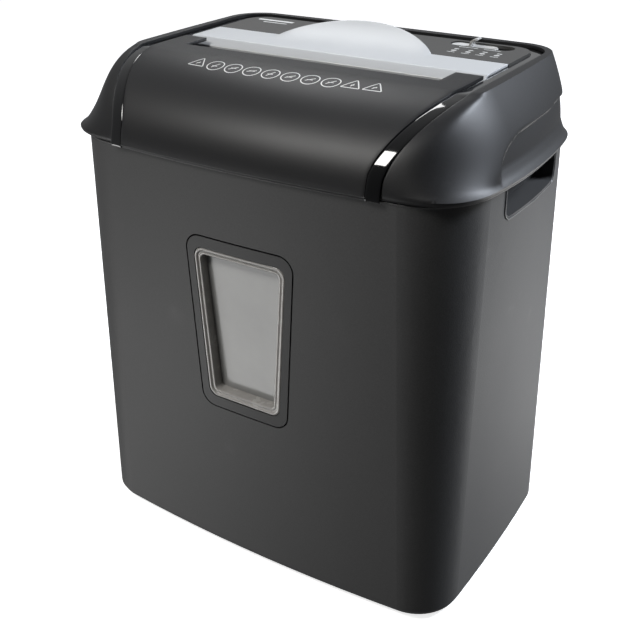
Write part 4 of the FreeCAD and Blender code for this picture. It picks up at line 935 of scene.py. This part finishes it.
def marks_on_cover():
    """Ten marks at even steps: each a ring or triangle, with a bar and a dash inside at its own slant."""
    patches = []
    random = np.random.default_rng(7)
    for index in range(10):
        x0 = -69.5 + 16.4 * index
        arc0 = 24.0 - 0.25 * index
        triangle = index in (0, 8, 9)
        lines = [(ring_line(8.2, 3) if triangle else ring_line(6.7), 0.85)]
        slant = random.uniform(0.4, 1.2)
        reach = 2.0 if triangle else 3.9
        lines.append((np.linspace(-1, 1, 8)[:, None] * [np.cos(slant) * reach, np.sin(slant) * reach], 0.8))
        shift = random.uniform(-0.8, 0.8)
        lines.append((np.linspace(-1, 1, 6)[:, None] * [reach * 0.6, 0.0] + [shift * 0.4, -0.5 + shift], 0.7))
        for line, width in lines:
            edges = ribbon(line, width)
            patches.append(on_face(x0 + edges[..., 0], arc0 - edges[..., 1]) * MM)
    return mesh_piece("cover_marks", *stacked(patches, flip=True), 60)


ink = Finish("print_ink")
spread = ink.noise(1800.0, 2.0)
ink.feed(
    Base_Color=ink.mix(spread, (0.52, 0.52, 0.50, 1), (0.80, 0.80, 0.78, 1)),
    Roughness=0.45 + spread * 0.2,
    Normal=ink.bump(spread, 0.00002, 0.3),
)
put(marks_on_cover(), ink, "head", "satin_black")


def panel_bars():
    """Short flat bars on the panel: a wide pair at the left for a name plate, and a small bar by each lamp."""
    bars = [(-103, 91.0, 36, 4.2), (-99, 83.5, 24, 2.0)]
    bars += [(78 + 11.7 * index, 61.5, 6.5, 1.0) for index in range(4)]
    bars += [(78 + 11.7 * index, 72.5, 4.0, 1.6) for index in range(4)]
    bars += [(84, 80.5, 16, 0.9), (104, 80.5, 14, 0.9)]
    panel_top = 403.56
    patches = []
    for x, y, width, height in bars:
        across = np.linspace(-0.5, 0.5, 9) * width + x
        along = np.array([-0.5, 0.5]) * height + y
        patches.append(np.stack(np.broadcast_arrays(across[None, :], along[:, None], panel_top), -1) * MM)
    return mesh_piece("panel_bars", *stacked(patches))


put(panel_bars(), ink, "head", "deck_plastic")


# ---- works inside the head
# Nylon gears, turned steel shafts, hardened cutters, zinc-plated plates and the control board, all
# covered by the head and seen only when it is lifted or through the slot.

nylon = moulded("nylon", (0.58, 0.56, 0.50, 1), (0.74, 0.72, 0.65, 1), 0.42, 0.0012, 0.00004)
repaint(
    nylon, "drive_gear", "rear_timing_gear", "front_timing_gear", "second_reduction_gear",
    "first_reduction_gear", "motor_fan", "bin_switch_plunger", "board_capacitor",
)


def metal(name, dark, light, roughness):
    """Worked metal: fine tool marks in gloss and height, and a slow drift in tone."""
    finish = Finish(name, Metallic=1.0)
    marks = finish.noise(700.0, 3.0)
    drift = finish.noise(25.0, 3.0)
    return finish.feed(
        Base_Color=finish.mix(marks * 0.5 + drift * 0.5, dark, light),
        Roughness=roughness + (marks - 0.5) * 0.2,
        Normal=finish.bump(marks, 0.00004, 0.4),
    )


steel = metal("steel", (0.30, 0.30, 0.31, 1), (0.52, 0.52, 0.53, 1), 0.3)
repaint(
    steel, "rear_cutter_discs", "rear_cutter_spacers", "rear_cutter_shaft", "rear_shaft_clip",
    "front_cutter_discs", "front_cutter_spacers", "front_cutter_shaft", "front_shaft_clip", "gear_pins",
    "lever_pin", "tie_rods", "motor_shaft", "motor_pinion", "casing_screws",
)
zinc = metal("zinc_plate", (0.42, 0.43, 0.44, 1), (0.62, 0.63, 0.64, 1), 0.4)
repaint(
    zinc, "left_frame_plate", "right_frame_plate", "motor_case", "gearbox_posts", "front_stripper_comb",
    "rear_stripper_comb", "board_posts",
)
bronze = metal("bronze", (0.42, 0.29, 0.13, 1), (0.60, 0.44, 0.23, 1), 0.45)
repaint(bronze, "shaft_bushes")
copper = metal("copper_core", (0.38, 0.20, 0.10, 1), (0.58, 0.33, 0.18, 1), 0.35)
repaint(copper, "motor_armature")
laminate = moulded("board_laminate", (0.02, 0.10, 0.03, 1), (0.05, 0.18, 0.06, 1), 0.35, 0.0006, 0.00003)
repaint(laminate, "control_board")
